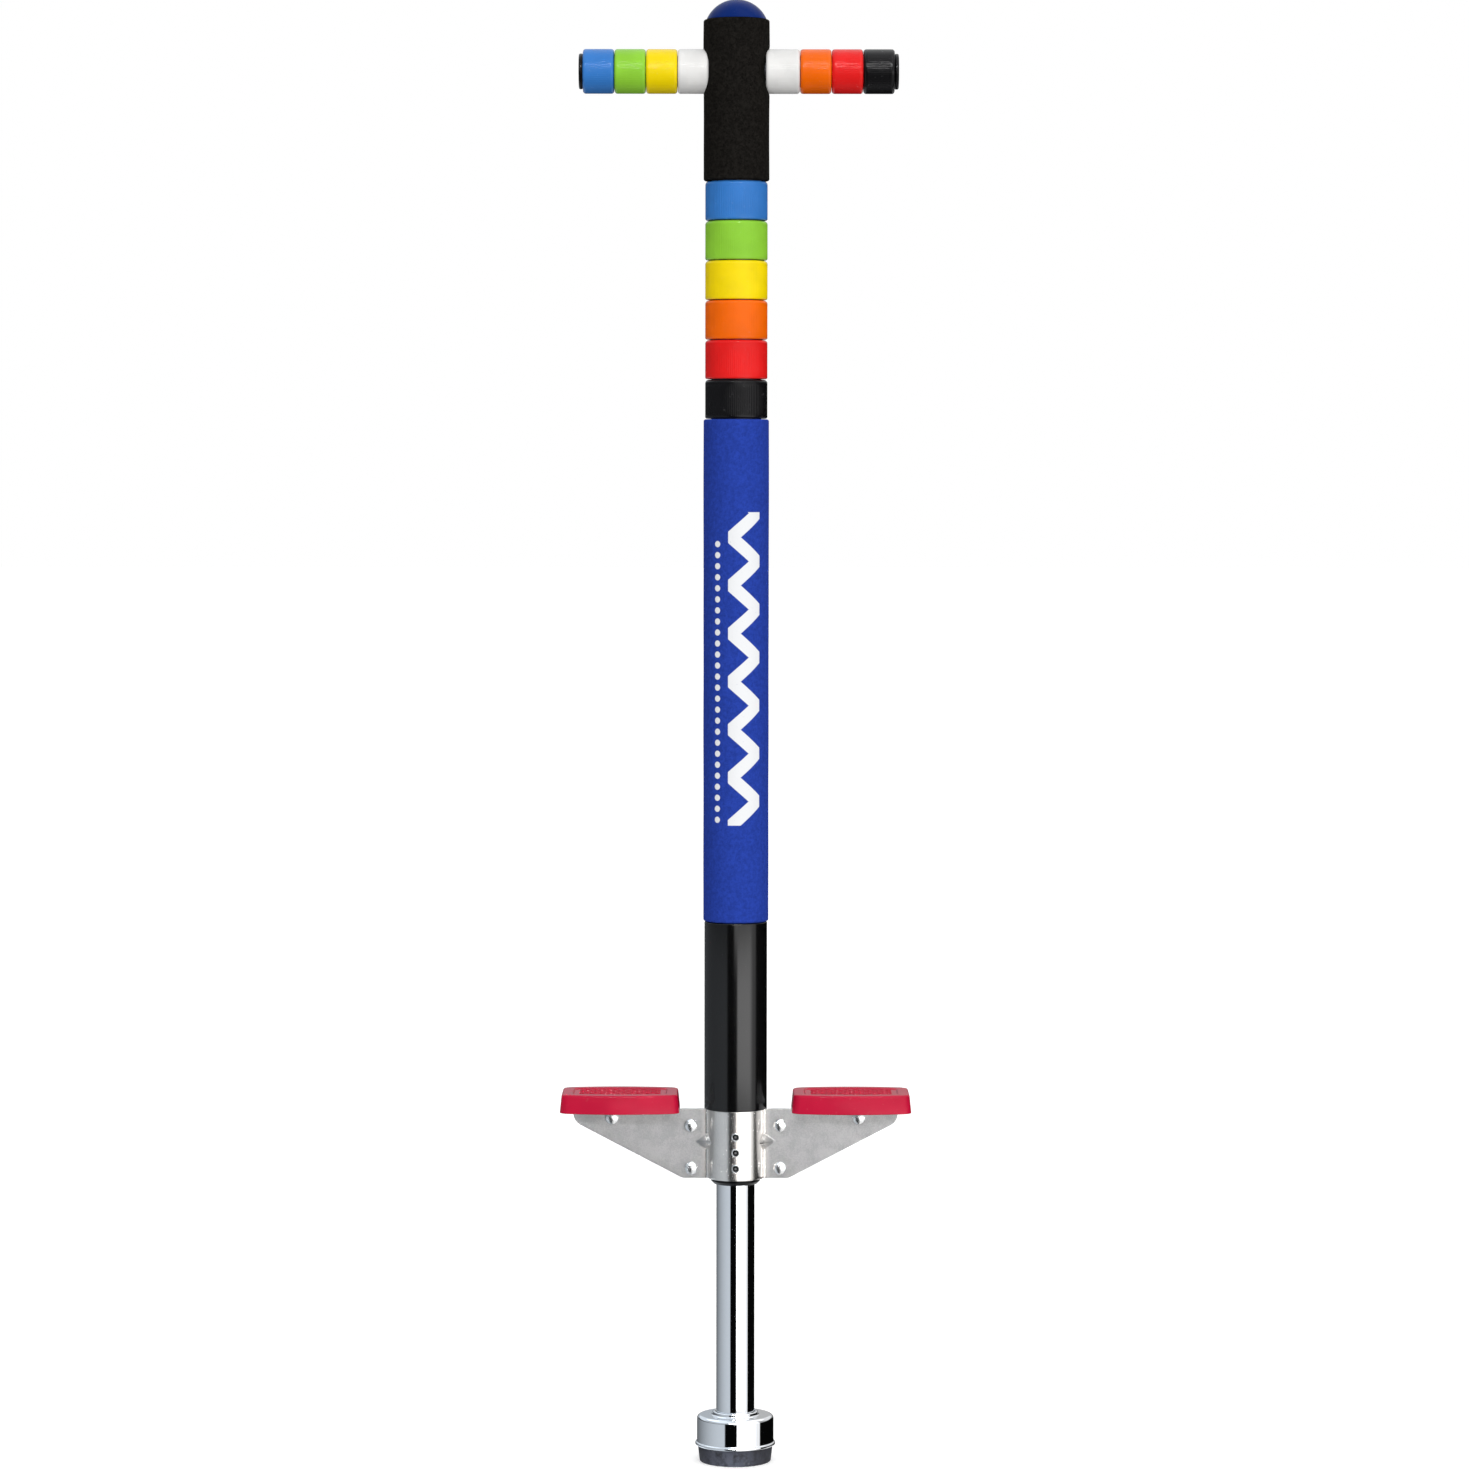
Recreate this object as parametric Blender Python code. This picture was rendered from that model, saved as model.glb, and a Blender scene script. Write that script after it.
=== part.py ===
"""A child's spring pogo stick: a steel column dressed with foam and plastic rings, with a sprung plunger.

Metres, +Z up. The origin is on the floor, under the column's axis. -Y is the front, and +X is to the right
as seen from the front. Every piece is its own object. Pieces that touch on the real stick keep a small
clearance to each other.
"""

import math

import bmesh
import bpy
from mathutils import Matrix, Vector

# Driving dimensions
CLEARANCE = 0.0003
MERGE = 0.000001
ROUND = 28
RING_ROUND = 24
SMALL_ROUND = 12
HOLE_ROUND = 10
BARREL_STEPS = 14
FOOT_ROUND = 32

TUBE_OUTER = 0.0154
TUBE_BORE = 0.0138
TUBE_BOTTOM = 0.1783
TUBE_TOP = 0.8943

SLEEVE_BORE = 0.0158
LOWER_SLEEVE_OUTER = 0.01945
LOWER_SLEEVE_BOTTOM = 0.2212
LOWER_SLEEVE_TOP = 0.3381
FOAM_SLEEVE_OUTER = 0.0203
FOAM_SLEEVE_TOP = 0.6492

RING_OUTER = 0.0192
RING_HEIGHT = 0.0239
RING_PITCH = 0.02437
RING_START = 0.6496
RING_EDGE = 0.0018

GRIP_OUTER = 0.0203
GRIP_BOTTOM = 0.7957
GRIP_TOP = 0.8943
DOME_RADIUS = 0.0201
DOME_BASE_RADIUS = 0.0185
DOME_STEM_LENGTH = 0.013

BAR_HEIGHT = 0.8628
BAR_OUTER = 0.0095
BAR_BORE = 0.0080
BAR_LEFT_END = -0.0945
BAR_RIGHT_END = 0.0972
HANDLE_RING_OUTER = 0.01365
HANDLE_RING_WIDTH = 0.01915
HANDLE_RING_PITCH = 0.01945
END_CAP_RADIUS = 0.0109
END_CAP_PROUD = 0.0025
BAR_SCREW_RADIUS = 0.0020

BARREL_OUTER = 0.0172
PLATE = 0.0015
BARREL_BOTTOM = 0.1778
BARREL_TOP = 0.2200
WING_END = 0.1009
WING_SLOPE_START = 0.0331
WING_SLOPE_END_HEIGHT = 0.2132
WING_TIP_ROUNDING = 0.0085
WING_HEEL_ROUNDING = 0.0050
FOLD_FILLET = 0.0015
FLANGE_INNER_END = 0.0377
FLANGE_OUTER_END = 0.0990
FLANGE_REACH = 0.0170
DART_TIP = 0.0240
DART_HEIGHT = 0.2007
DART_HALF = 0.0053

RIVET_PLACES = {"upper": (0.0276, 0.2106), "lower": (0.0276, 0.1841), "outer": (0.0768, 0.2154)}
RIVET_HEAD = 0.0043
RIVET_DOME = 0.0024
RIVET_SHANK = 0.0022
BARREL_RIVET_HEIGHTS = {"top": 0.2053, "middle": 0.1955, "bottom": 0.1856}
BARREL_RIVET_HEAD = 0.00255
BARREL_RIVET_SHANK = 0.0016
BARREL_RIVET_MOUTH = 0.0019
BARREL_RIVET_BORE = 0.0009

PEDAL_BOTTOM = 0.2207
PEDAL_TOP = 0.2316
PEDAL_INNER_END = 0.03475
PEDAL_OUTER_END = 0.1089
PEDAL_DEPTH = 0.0502
PEDAL_BOW = 0.0050
PEDAL_CORNER = 0.0050
PEDAL_SCREW_X = 0.0580
PEDAL_SCREW_Y = 0.0080
SCREW_SHANK = 0.0017
SCREW_HEAD = 0.0035

PLUNGER_OUTER = 0.0119
PLUNGER_BORE = 0.0102
PLUNGER_BOTTOM = 0.0276
PLUNGER_TOP = 0.2341
GUIDE_OUTER = 0.0135
BUSHING_BOTTOM = 0.1743
BUSHING_FLANGE = 0.1770
BUSHING_TOP = 0.2080
BUMPER_LENGTH = 0.0100
PISTON_TOP = 0.2380

SPRING_TOP = 0.5383
SPRING_MEAN_RADIUS = 0.0111
SPRING_WIRE = 0.0016
SPRING_ACTIVE_TURNS = 24
SPRING_POINTS_PER_TURN = 8
SEAT_TOP = SPRING_TOP + 0.0053
STOP_PIN_RADIUS = 0.0030
STOP_PIN_HEIGHT = SEAT_TOP + STOP_PIN_RADIUS + CLEARANCE

CUP_LIP = 0.02495
CUP_OUTER = 0.0239
CUP_BOTTOM = 0.0102
CUP_TOP = 0.0290
COLLAR_OUTER = 0.01425
COLLAR_TOP = 0.0314
TIP_TOP_RADIUS = 0.0233
TIP_FLOOR_RADIUS = 0.0222

# Colours are linear RGB, with roughness and metallic.
FINISHES = {
    "chrome": ((0.80, 0.81, 0.83), 0.10, 1.0),
    "zinc_steel": ((0.52, 0.52, 0.52), 0.34, 1.0),
    "tube_steel": ((0.42, 0.42, 0.43), 0.40, 1.0),
    "rivet_steel": ((0.75, 0.75, 0.76), 0.20, 1.0),
    "spring_steel": ((0.20, 0.20, 0.21), 0.35, 1.0),
    "black_foam": ((0.012, 0.012, 0.011), 0.95, 0.0),
    "blue_foam": ((0.024, 0.062, 0.380), 0.90, 0.0),
    "black_gloss_plastic": ((0.012, 0.012, 0.013), 0.25, 0.0),
    "black_plastic": ((0.012, 0.012, 0.012), 0.45, 0.0),
    "white_plastic": ((0.84, 0.83, 0.81), 0.40, 0.0),
    "yellow_plastic": ((0.88, 0.66, 0.002), 0.40, 0.0),
    "green_plastic": ((0.27, 0.60, 0.040), 0.40, 0.0),
    "blue_plastic": ((0.044, 0.195, 0.580), 0.40, 0.0),
    "orange_plastic": ((0.93, 0.130, 0.002), 0.40, 0.0),
    "red_plastic": ((0.73, 0.014, 0.010), 0.40, 0.0),
    "navy_plastic": ((0.006, 0.030, 0.180), 0.25, 0.0),
    "crimson_plastic": ((0.56, 0.008, 0.040), 0.35, 0.0),
    "grey_rubber": ((0.070, 0.075, 0.100), 0.75, 0.0),
    "black_rubber": ((0.015, 0.015, 0.015), 0.80, 0.0),
}


def clear_scene():
    for obj in list(bpy.data.objects):
        bpy.data.objects.remove(obj, do_unlink=True)


def finish_material(finish):
    """The material of a finish, made once."""
    if finish in bpy.data.materials:
        return bpy.data.materials[finish]
    color, roughness, metallic = FINISHES[finish]
    material = bpy.data.materials.new(finish)
    material.use_nodes = True
    shader = material.node_tree.nodes["Principled BSDF"]
    shader.inputs["Base Color"].default_value = (*color, 1.0)
    shader.inputs["Roughness"].default_value = roughness
    shader.inputs["Metallic"].default_value = metallic
    material.diffuse_color = (*color, 1.0)
    return material


def make_group(name):
    """An empty on the column's axis, which holds the pieces that move together."""
    group = bpy.data.objects.new(name, None)
    bpy.context.scene.collection.objects.link(group)
    return group


def add_object(name, bm, finish, group, smooth=True):
    """Puts a finished bmesh in the scene as one object. Pieces made of flats leave smooth off."""
    bmesh.ops.remove_doubles(bm, verts=bm.verts, dist=MERGE)
    bmesh.ops.recalc_face_normals(bm, faces=bm.faces)
    mesh = bpy.data.meshes.new(name)
    bm.to_mesh(mesh)
    bm.free()
    if smooth:
        mesh.shade_smooth()
        mesh.set_sharp_from_angle(angle=math.radians(35))
    mesh.materials.append(finish_material(finish))
    obj = bpy.data.objects.new(name, mesh)
    bpy.context.scene.collection.objects.link(obj)
    obj.parent = group
    return obj


def arc(centre, radius, start, end, steps):
    """Points on an arc in a plane, from one angle to the other, in degrees."""
    angles = [math.radians(start + (end - start) * i / steps) for i in range(steps + 1)]
    return [(centre[0] + radius * math.cos(a), centre[1] + radius * math.sin(a)) for a in angles]


def spin_profile(bm, profile, segments):
    """Turns a profile of (radius, height) points about Z. One that starts and ends on the axis stays open."""
    verts = [bm.verts.new((radius, 0, height)) for radius, height in profile]
    pairs = list(zip(verts, verts[1:]))
    if profile[0][0] > 0 or profile[-1][0] > 0:
        pairs.append((verts[-1], verts[0]))
    edges = [bm.edges.new(pair) for pair in pairs]
    bmesh.ops.spin(
        bm, geom=verts + edges, cent=(0, 0, 0), axis=(0, 0, 1), angle=math.tau, steps=segments, use_merge=True
    )
    bmesh.ops.remove_doubles(bm, verts=bm.verts, dist=MERGE)


def turned(name, profile, finish, group, segments=ROUND):
    bm = bmesh.new()
    spin_profile(bm, profile, segments)
    return add_object(name, bm, finish, group)


def collar_profile(bore, outer, bottom, top, edge=0.0, steps=1):
    """A ring's section, with its two outer edges rounded by the given radius."""
    if edge == 0:
        return [(bore, bottom), (outer, bottom), (outer, top), (bore, top)]
    low = arc((outer - edge, bottom + edge), edge, -90, 0, steps)
    high = arc((outer - edge, top - edge), edge, 0, 90, steps)
    return [(bore, bottom), *low, *high, (bore, top)]


def lay_along_x(obj, x=0.0, toward=1):
    """Lays a turned piece along the handlebar. toward is the way that its top then points."""
    obj.rotation_euler = (0, toward * math.pi / 2, 0)
    obj.location = (x, 0, BAR_HEIGHT)


def face_front(obj, x, z):
    """Turns a piece's top to the front."""
    obj.rotation_euler = (math.pi / 2, 0, 0)
    obj.location = (x, 0, z)


def add_cylinder(bm, start, end, radius, segments=HOLE_ROUND):
    """A closed cylinder between two points."""
    axis = Vector(end) - Vector(start)
    turn = axis.to_track_quat("Z", "Y").to_matrix().to_4x4()
    middle = Matrix.Translation((Vector(start) + Vector(end)) / 2)
    size = {"radius1": radius, "radius2": radius, "depth": axis.length}
    bmesh.ops.create_cone(bm, cap_ends=True, segments=segments, matrix=middle @ turn, **size)


def add_prism(bm, outline, axis, low, high):
    """A closed prism: an outline in the plane across the axis, carried from low to high along it."""
    across = "XYZ".index(axis)
    corners = [[*point[:across], low, *point[across:]] for point in outline]
    carry = [high - low if i == across else 0 for i in range(3)]
    base = bm.faces.new([bm.verts.new(corner) for corner in corners])
    made = bmesh.ops.extrude_face_region(bm, geom=[base], use_keep_orig=True)
    tops = [item for item in made["geom"] if isinstance(item, bmesh.types.BMVert)]
    bmesh.ops.translate(bm, verts=tops, vec=carry)


def helper(name, bm):
    """An object that only shapes another one by a Boolean."""
    obj = add_object(name, bm, "tube_steel", None, smooth=False)
    obj.hide_render = True
    obj.display_type = "WIRE"
    return obj


def combine(obj, operation, name, bm):
    modifier = obj.modifiers.new(name, "BOOLEAN")
    modifier.operation = operation
    modifier.solver = "EXACT"
    modifier.object = helper(name, bm)


def rounded_outline(corners, steps=4):
    """An outline whose corners are (x, y, radius), each rounded by its own radius."""
    points = []
    for i, (x, y, radius) in enumerate(corners):
        corner = Vector((x, y))
        if radius == 0:
            points.append((x, y))
            continue
        before = (Vector(corners[i - 1][:2]) - corner).normalized()
        after = (Vector(corners[(i + 1) % len(corners)][:2]) - corner).normalized()
        half = before.angle(after) / 2
        centre = corner + (before + after).normalized() * radius / math.sin(half)
        first = corner + before * radius / math.tan(half) - centre
        sweep = -first.angle_signed(corner + after * radius / math.tan(half) - centre)
        for step in range(steps + 1):
            spoke = Matrix.Rotation(sweep * step / steps, 2) @ first
            points.append(tuple(centre + spoke))
    return points


def pad_outline(x_low, x_high, half, bow, radius, steps=3, bow_steps=6):
    """A rounded rectangle about the X axis whose long edges bow out. half is its half depth at the middle."""
    shares = [2 * i / bow_steps - 1 for i in range(bow_steps + 1)]
    middle, reach = (x_low + x_high) / 2, (x_high - x_low) / 2
    edge = [(middle + share * reach, half - bow * share**2) for share in shares]
    radii = [radius, *[0] * (bow_steps - 1), radius]
    front = [(x, -y, r) for (x, y), r in zip(edge, radii)]
    rear = [(x, y, r) for (x, y), r in zip(reversed(edge), radii)]
    return rounded_outline(front + rear, steps)


def make_outer_tube(group):
    section = collar_profile(TUBE_BORE, TUBE_OUTER, TUBE_BOTTOM, TUBE_TOP)
    tube = turned("outer_tube", section, "tube_steel", group)
    cuts = bmesh.new()
    reach = 2 * TUBE_OUTER
    pin_hole = STOP_PIN_RADIUS + CLEARANCE
    add_cylinder(cuts, (-reach, 0, BAR_HEIGHT), (reach, 0, BAR_HEIGHT), BAR_OUTER + CLEARANCE, ROUND)
    add_cylinder(cuts, (0, -reach, STOP_PIN_HEIGHT), (0, reach, STOP_PIN_HEIGHT), pin_hole)
    for height in BARREL_RIVET_HEIGHTS.values():
        add_cylinder(cuts, (0, -reach, height), (0, -reach / 3, height), BARREL_RIVET_SHANK + CLEARANCE)
    screw_start = (0, TUBE_BORE - 0.001, BAR_HEIGHT)
    add_cylinder(cuts, screw_start, (0, reach, BAR_HEIGHT), BAR_SCREW_RADIUS + CLEARANCE)
    combine(tube, "DIFFERENCE", "outer_tube_holes", cuts)


def make_sleeves(group):
    lower = collar_profile(SLEEVE_BORE, LOWER_SLEEVE_OUTER, LOWER_SLEEVE_BOTTOM, LOWER_SLEEVE_TOP, 0.0008)
    turned("lower_sleeve", lower, "black_gloss_plastic", group)
    foam_bottom = LOWER_SLEEVE_TOP + CLEARANCE
    foam = collar_profile(SLEEVE_BORE, FOAM_SLEEVE_OUTER, foam_bottom, FOAM_SLEEVE_TOP, 0.0012)
    turned("foam_sleeve", foam, "blue_foam", group)
    for i, color in enumerate(("black", "red", "orange", "yellow", "green", "blue")):
        bottom = RING_START + i * RING_PITCH
        ring = collar_profile(SLEEVE_BORE, RING_OUTER, bottom, bottom + RING_HEIGHT, RING_EDGE)
        turned(f"column_ring_{color}", ring, f"{color}_plastic", group, RING_ROUND)


def bore_along_bar(obj, name, start, end, radius):
    """Bores a round hole along the handlebar's axis, from one X to another."""
    cuts = bmesh.new()
    add_cylinder(cuts, (start, 0, BAR_HEIGHT), (end, 0, BAR_HEIGHT), radius, ROUND)
    combine(obj, "DIFFERENCE", name, cuts)


def make_upper_grip(group):
    """The foam over the column's top. The left handle ring enters it, and the right one presses on it."""
    section = collar_profile(SLEEVE_BORE, GRIP_OUTER, GRIP_BOTTOM, GRIP_TOP, 0.0015)
    grip = turned("upper_foam_grip", section, "black_foam", group)
    reach = 2 * GRIP_OUTER
    ring_hole = HANDLE_RING_OUTER + CLEARANCE
    right_ring_end = BAR_RIGHT_END - 3 * HANDLE_RING_PITCH - HANDLE_RING_WIDTH
    bore_along_bar(grip, "grip_left_hole", -reach, -0.001, ring_hole)
    bore_along_bar(grip, "grip_right_hole", 0.001, reach, BAR_OUTER + CLEARANCE)
    bore_along_bar(grip, "grip_right_recess", right_ring_end - CLEARANCE, reach, ring_hole)


def make_dome_cap(group):
    base = GRIP_TOP + CLEARANCE
    rise = DOME_RADIUS - math.sqrt(DOME_RADIUS**2 - DOME_BASE_RADIUS**2)
    start = math.degrees(math.acos(DOME_BASE_RADIUS / DOME_RADIUS))
    dome = arc((0, base + rise - DOME_RADIUS), DOME_RADIUS, start, 90, 6)
    stem = GUIDE_OUTER
    stem_end = base - DOME_STEM_LENGTH
    profile = [(0, stem_end), (stem, stem_end), (stem, base), *dome[:-1], (0, base + rise)]
    turned("dome_cap", profile, "navy_plastic", group)


def make_handlebar(group):
    """The cross tube, its screw, the rings along it and the plugs in its ends."""
    section = collar_profile(BAR_BORE, BAR_OUTER, BAR_LEFT_END, BAR_RIGHT_END)
    bar = turned("handlebar_tube", section, "tube_steel", group)
    lay_along_x(bar)
    cuts = bmesh.new()
    add_cylinder(cuts, (0, 0, 0), (0, 2 * BAR_OUTER, 0), BAR_SCREW_RADIUS + CLEARANCE)
    combine(bar, "DIFFERENCE", "handlebar_screw_hole", cuts)
    bpy.data.objects["handlebar_screw_hole"].location = (0, 0, BAR_HEIGHT)
    shank = [(0, 0.006), (BAR_SCREW_RADIUS, 0.006), (BAR_SCREW_RADIUS, TUBE_OUTER), (0, TUBE_OUTER)]
    screw = turned("handlebar_screw", shank, "rivet_steel", group, SMALL_ROUND)
    screw.rotation_euler = (-math.pi / 2, 0, 0)
    screw.location = (0, 0, BAR_HEIGHT)
    sides = {
        "left": (BAR_LEFT_END, 1, ("blue", "green", "yellow", "white")),
        "right": (BAR_RIGHT_END, -1, ("black", "red", "orange", "white")),
    }
    ring = collar_profile(BAR_OUTER + CLEARANCE, HANDLE_RING_OUTER, 0, HANDLE_RING_WIDTH, RING_EDGE)
    stem = BAR_BORE - CLEARANCE
    edge = 0.0008
    cap = [
        (0, -0.012), (stem, -0.012), (stem, CLEARANCE), (END_CAP_RADIUS, CLEARANCE),
        (END_CAP_RADIUS, END_CAP_PROUD - edge), (END_CAP_RADIUS - edge, END_CAP_PROUD), (0, END_CAP_PROUD),
    ]
    for side, (end, inward, colors) in sides.items():
        for i, color in enumerate(colors):
            piece = turned(f"handle_ring_{side}_{color}", ring, f"{color}_plastic", group, RING_ROUND)
            lay_along_x(piece, end + inward * i * HANDLE_RING_PITCH, inward)
        lay_along_x(turned(f"bar_end_cap_{side}", cap, "black_plastic", group, RING_ROUND), end, -inward)


def bracket_section(front):
    """The section of one pressed plate, seen from above: half a barrel with a flat wing on either side."""
    inner_face = CLEARANCE / 2
    outer_face = inner_face + PLATE
    bore = BARREL_OUTER - PLATE
    fold_y = outer_face + FOLD_FILLET
    fold_x = math.sqrt((BARREL_OUTER + FOLD_FILLET) ** 2 - fold_y**2)
    lean = math.degrees(math.atan2(fold_y, fold_x))
    inner_lean = math.degrees(math.asin(inner_face / bore))
    outside = [
        (WING_END + 0.01, outer_face),
        *arc((fold_x, fold_y), FOLD_FILLET, -90, -180 + lean, 3),
        *arc((0, 0), BARREL_OUTER, lean, 180 - lean, BARREL_STEPS)[1:-1],
        *arc((-fold_x, fold_y), FOLD_FILLET, -lean, -90, 3),
        (-WING_END - 0.01, outer_face),
    ]
    inside = [
        (-WING_END - 0.01, inner_face),
        *arc((0, 0), bore, 180 - inner_lean, inner_lean, BARREL_STEPS),
        (WING_END + 0.01, inner_face),
    ]
    return [(x, front * y) for x, y in outside + inside]


def wing_silhouette():
    """The pair of wings seen from the front."""
    right = [
        (WING_SLOPE_START, BARREL_BOTTOM, WING_HEEL_ROUNDING),
        (WING_END, WING_SLOPE_END_HEIGHT, WING_TIP_ROUNDING),
        (WING_END, BARREL_TOP, 0),
    ]
    left = [(-x, z, radius) for x, z, radius in reversed(right)]
    return rounded_outline(right + left)


def add_flange(bm, side, front):
    """A wing's upper edge, raised into the pedal's underside and folded out flat to carry it."""
    inner_face = CLEARANCE / 2
    low, high = PEDAL_BOTTOM, PEDAL_BOTTOM + PLATE
    outline = [
        (inner_face, BARREL_TOP - 0.001), (inner_face + PLATE, BARREL_TOP - 0.001),
        (inner_face + PLATE, low), (FLANGE_REACH, low), (FLANGE_REACH, high), (inner_face, high),
    ]
    ends = sorted((side * FLANGE_INNER_END, side * FLANGE_OUTER_END))
    add_prism(bm, [(front * y, z) for y, z in outline], "X", *ends)


def add_dart(bm, side, front):
    """A stiffening dart pressed across the fold between the barrel and a wing."""
    root = math.radians(30)
    deep = BARREL_OUTER - PLATE / 2
    corners = [
        (DART_TIP, CLEARANCE / 2 + PLATE * 0.9, DART_HEIGHT),
        (deep, CLEARANCE / 2 + PLATE / 2, DART_HEIGHT + DART_HALF),
        (deep, CLEARANCE / 2 + PLATE / 2, DART_HEIGHT - DART_HALF),
        (BARREL_OUTER * math.cos(root), BARREL_OUTER * math.sin(root), DART_HEIGHT),
    ]
    verts = [bm.verts.new((side * x, front * y, z)) for x, y, z in corners]
    for trio in ((0, 1, 2), (0, 1, 3), (0, 2, 3), (1, 2, 3)):
        bm.faces.new([verts[i] for i in trio])


def make_bracket_half(name, front, group):
    """One pressed plate. front is -1 for the front one and 1 for the rear one."""
    bm = bmesh.new()
    add_prism(bm, bracket_section(front), "Z", BARREL_BOTTOM, BARREL_TOP)
    plate = add_object(name, bm, "zinc_steel", group, smooth=False)
    outline = bmesh.new()
    add_prism(outline, wing_silhouette(), "Y", -0.03, 0.03)
    combine(plate, "INTERSECT", f"{name}_outline", outline)
    extras = bmesh.new()
    holes = bmesh.new()
    for side in (-1, 1):
        add_flange(extras, side, front)
        add_dart(extras, side, front)
        for x, z in RIVET_PLACES.values():
            add_cylinder(holes, (side * x, -0.01, z), (side * x, 0.01, z), RIVET_SHANK + CLEARANCE)
        screw = (side * PEDAL_SCREW_X, front * PEDAL_SCREW_Y)
        add_cylinder(holes, (*screw, BARREL_TOP - 0.001), (*screw, PEDAL_TOP), SCREW_SHANK + CLEARANCE)
    if front < 0:
        for height in BARREL_RIVET_HEIGHTS.values():
            add_cylinder(holes, (0, -0.03, height), (0, -0.01, height), BARREL_RIVET_SHANK + CLEARANCE)
    combine(plate, "UNION", f"{name}_flanges", extras)
    combine(plate, "DIFFERENCE", f"{name}_holes", holes)


def make_rivets(group):
    """Through rivets with a domed head in front and a smaller one behind, and blind rivets in the barrel."""
    grip = CLEARANCE / 2 + PLATE + CLEARANCE
    tail = 0.9 * RIVET_HEAD
    tail_rise = 0.7 * RIVET_DOME
    quarter = [(math.cos(a), math.sin(a)) for a in (0, math.pi / 6, math.pi / 3)]
    behind = [(tail * c, -grip - tail_rise * s) for c, s in reversed(quarter)]
    ahead = [(RIVET_HEAD * c, grip + RIVET_DOME * s) for c, s in quarter]
    shank = [(RIVET_SHANK, -grip), (RIVET_SHANK, grip)]
    profile = [(0, -grip - tail_rise), *behind, *shank, *ahead, (0, grip + RIVET_DOME)]
    for side, side_name in ((-1, "left"), (1, "right")):
        for place, (x, z) in RIVET_PLACES.items():
            rivet = turned(f"rivet_{side_name}_{place}", profile, "rivet_steel", group, SMALL_ROUND)
            face_front(rivet, side * x, z)
    back = BARREL_OUTER + CLEARANCE
    blind = [
        (0, TUBE_BORE), (BARREL_RIVET_SHANK, TUBE_BORE), (BARREL_RIVET_SHANK, back),
        (BARREL_RIVET_HEAD, back), (BARREL_RIVET_HEAD, back + 0.0004),
        (BARREL_RIVET_HEAD - 0.0003, back + 0.0008),
        (BARREL_RIVET_MOUTH, back + 0.0008), (BARREL_RIVET_BORE, back - 0.0006), (0, back - 0.0006),
    ]
    for place, z in BARREL_RIVET_HEIGHTS.items():
        face_front(turned(f"barrel_rivet_{place}", blind, "rivet_steel", group, SMALL_ROUND), 0, z)


def add_loft(bm, loops):
    """Closed loops of equal length joined one to the next, with both ends filled."""
    rings = [[bm.verts.new(point) for point in loop] for loop in loops]
    for lower, upper in zip(rings, rings[1:]):
        for i, vert in enumerate(lower):
            after = (i + 1) % len(lower)
            bm.faces.new((vert, lower[after], upper[after], upper[i]))
    bm.faces.new(rings[0])
    bm.faces.new(rings[-1])


def make_pedals(group):
    """Moulded foot pads: a tapered block with a pocket for the flanges below and a sunk tread panel above."""
    pocket_top = PEDAL_BOTTOM + PLATE + CLEARANCE
    pocket_ends = (FLANGE_INNER_END - CLEARANCE, FLANGE_OUTER_END + CLEARANCE)
    pocket = pad_outline(*pocket_ends, FLANGE_REACH + CLEARANCE, 0, 0.0005)
    # Each step is the inset from the pad's base outline, the height and the corners' rounding.
    steps = [
        (0, PEDAL_BOTTOM, PEDAL_CORNER),
        (0.0013, PEDAL_TOP - 0.0010, PEDAL_CORNER),
        (0.0022, PEDAL_TOP, PEDAL_CORNER),
        (0.0085, PEDAL_TOP, PEDAL_CORNER / 2),
        (0.0090, PEDAL_TOP - 0.0008, PEDAL_CORNER / 2),
    ]
    for side, side_name in ((-1, "left"), (1, "right")):
        loops = [[(x, y, pocket_top) for x, y in pocket], [(x, y, PEDAL_BOTTOM) for x, y in pocket]]
        for inset, z, radius in steps:
            ends = (PEDAL_INNER_END + inset, PEDAL_OUTER_END - inset)
            outline = pad_outline(*ends, PEDAL_DEPTH / 2 - inset, PEDAL_BOW, radius)
            loops.append([(x, y, z) for x, y in outline])
        bm = bmesh.new()
        add_loft(bm, [[(side * x, y, z) for x, y, z in loop] for loop in loops])
        pedal = add_object(f"pedal_{side_name}", bm, "crimson_plastic", group, smooth=False)
        holes = bmesh.new()
        for depth_name, front in (("front", -1), ("rear", 1)):
            place = (side * PEDAL_SCREW_X, front * PEDAL_SCREW_Y)
            add_cylinder(holes, (*place, PEDAL_BOTTOM), (*place, PEDAL_TOP - 0.0030), SCREW_SHANK + CLEARANCE)
            make_pedal_screw(f"pedal_screw_{side_name}_{depth_name}", place, group)
        combine(pedal, "DIFFERENCE", f"pedal_{side_name}_holes", holes)


def make_pedal_screw(name, place, group):
    head_top = PEDAL_BOTTOM - CLEARANCE
    tip = PEDAL_TOP - 0.0040
    profile = [
        (0, head_top - 0.0022), (SCREW_HEAD - 0.0008, head_top - 0.0022), (SCREW_HEAD, head_top - 0.0012),
        (SCREW_HEAD, head_top), (SCREW_SHANK, head_top), (SCREW_SHANK, tip), (0, tip),
    ]
    turned(name, profile, "rivet_steel", group, SMALL_ROUND).location = (*place, 0)


def make_lower_bushing(group):
    bore = PLUNGER_OUTER + CLEARANCE
    flange_top = TUBE_BOTTOM - CLEARANCE
    profile = [
        (bore, BUSHING_BOTTOM), (bore + 0.0004, BUSHING_BOTTOM),
        (TUBE_OUTER, BUSHING_FLANGE), (TUBE_OUTER, flange_top), (GUIDE_OUTER, flange_top),
        (GUIDE_OUTER, BUSHING_TOP), (bore, BUSHING_TOP),
    ]
    turned("lower_bushing", profile, "black_plastic", group)


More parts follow.
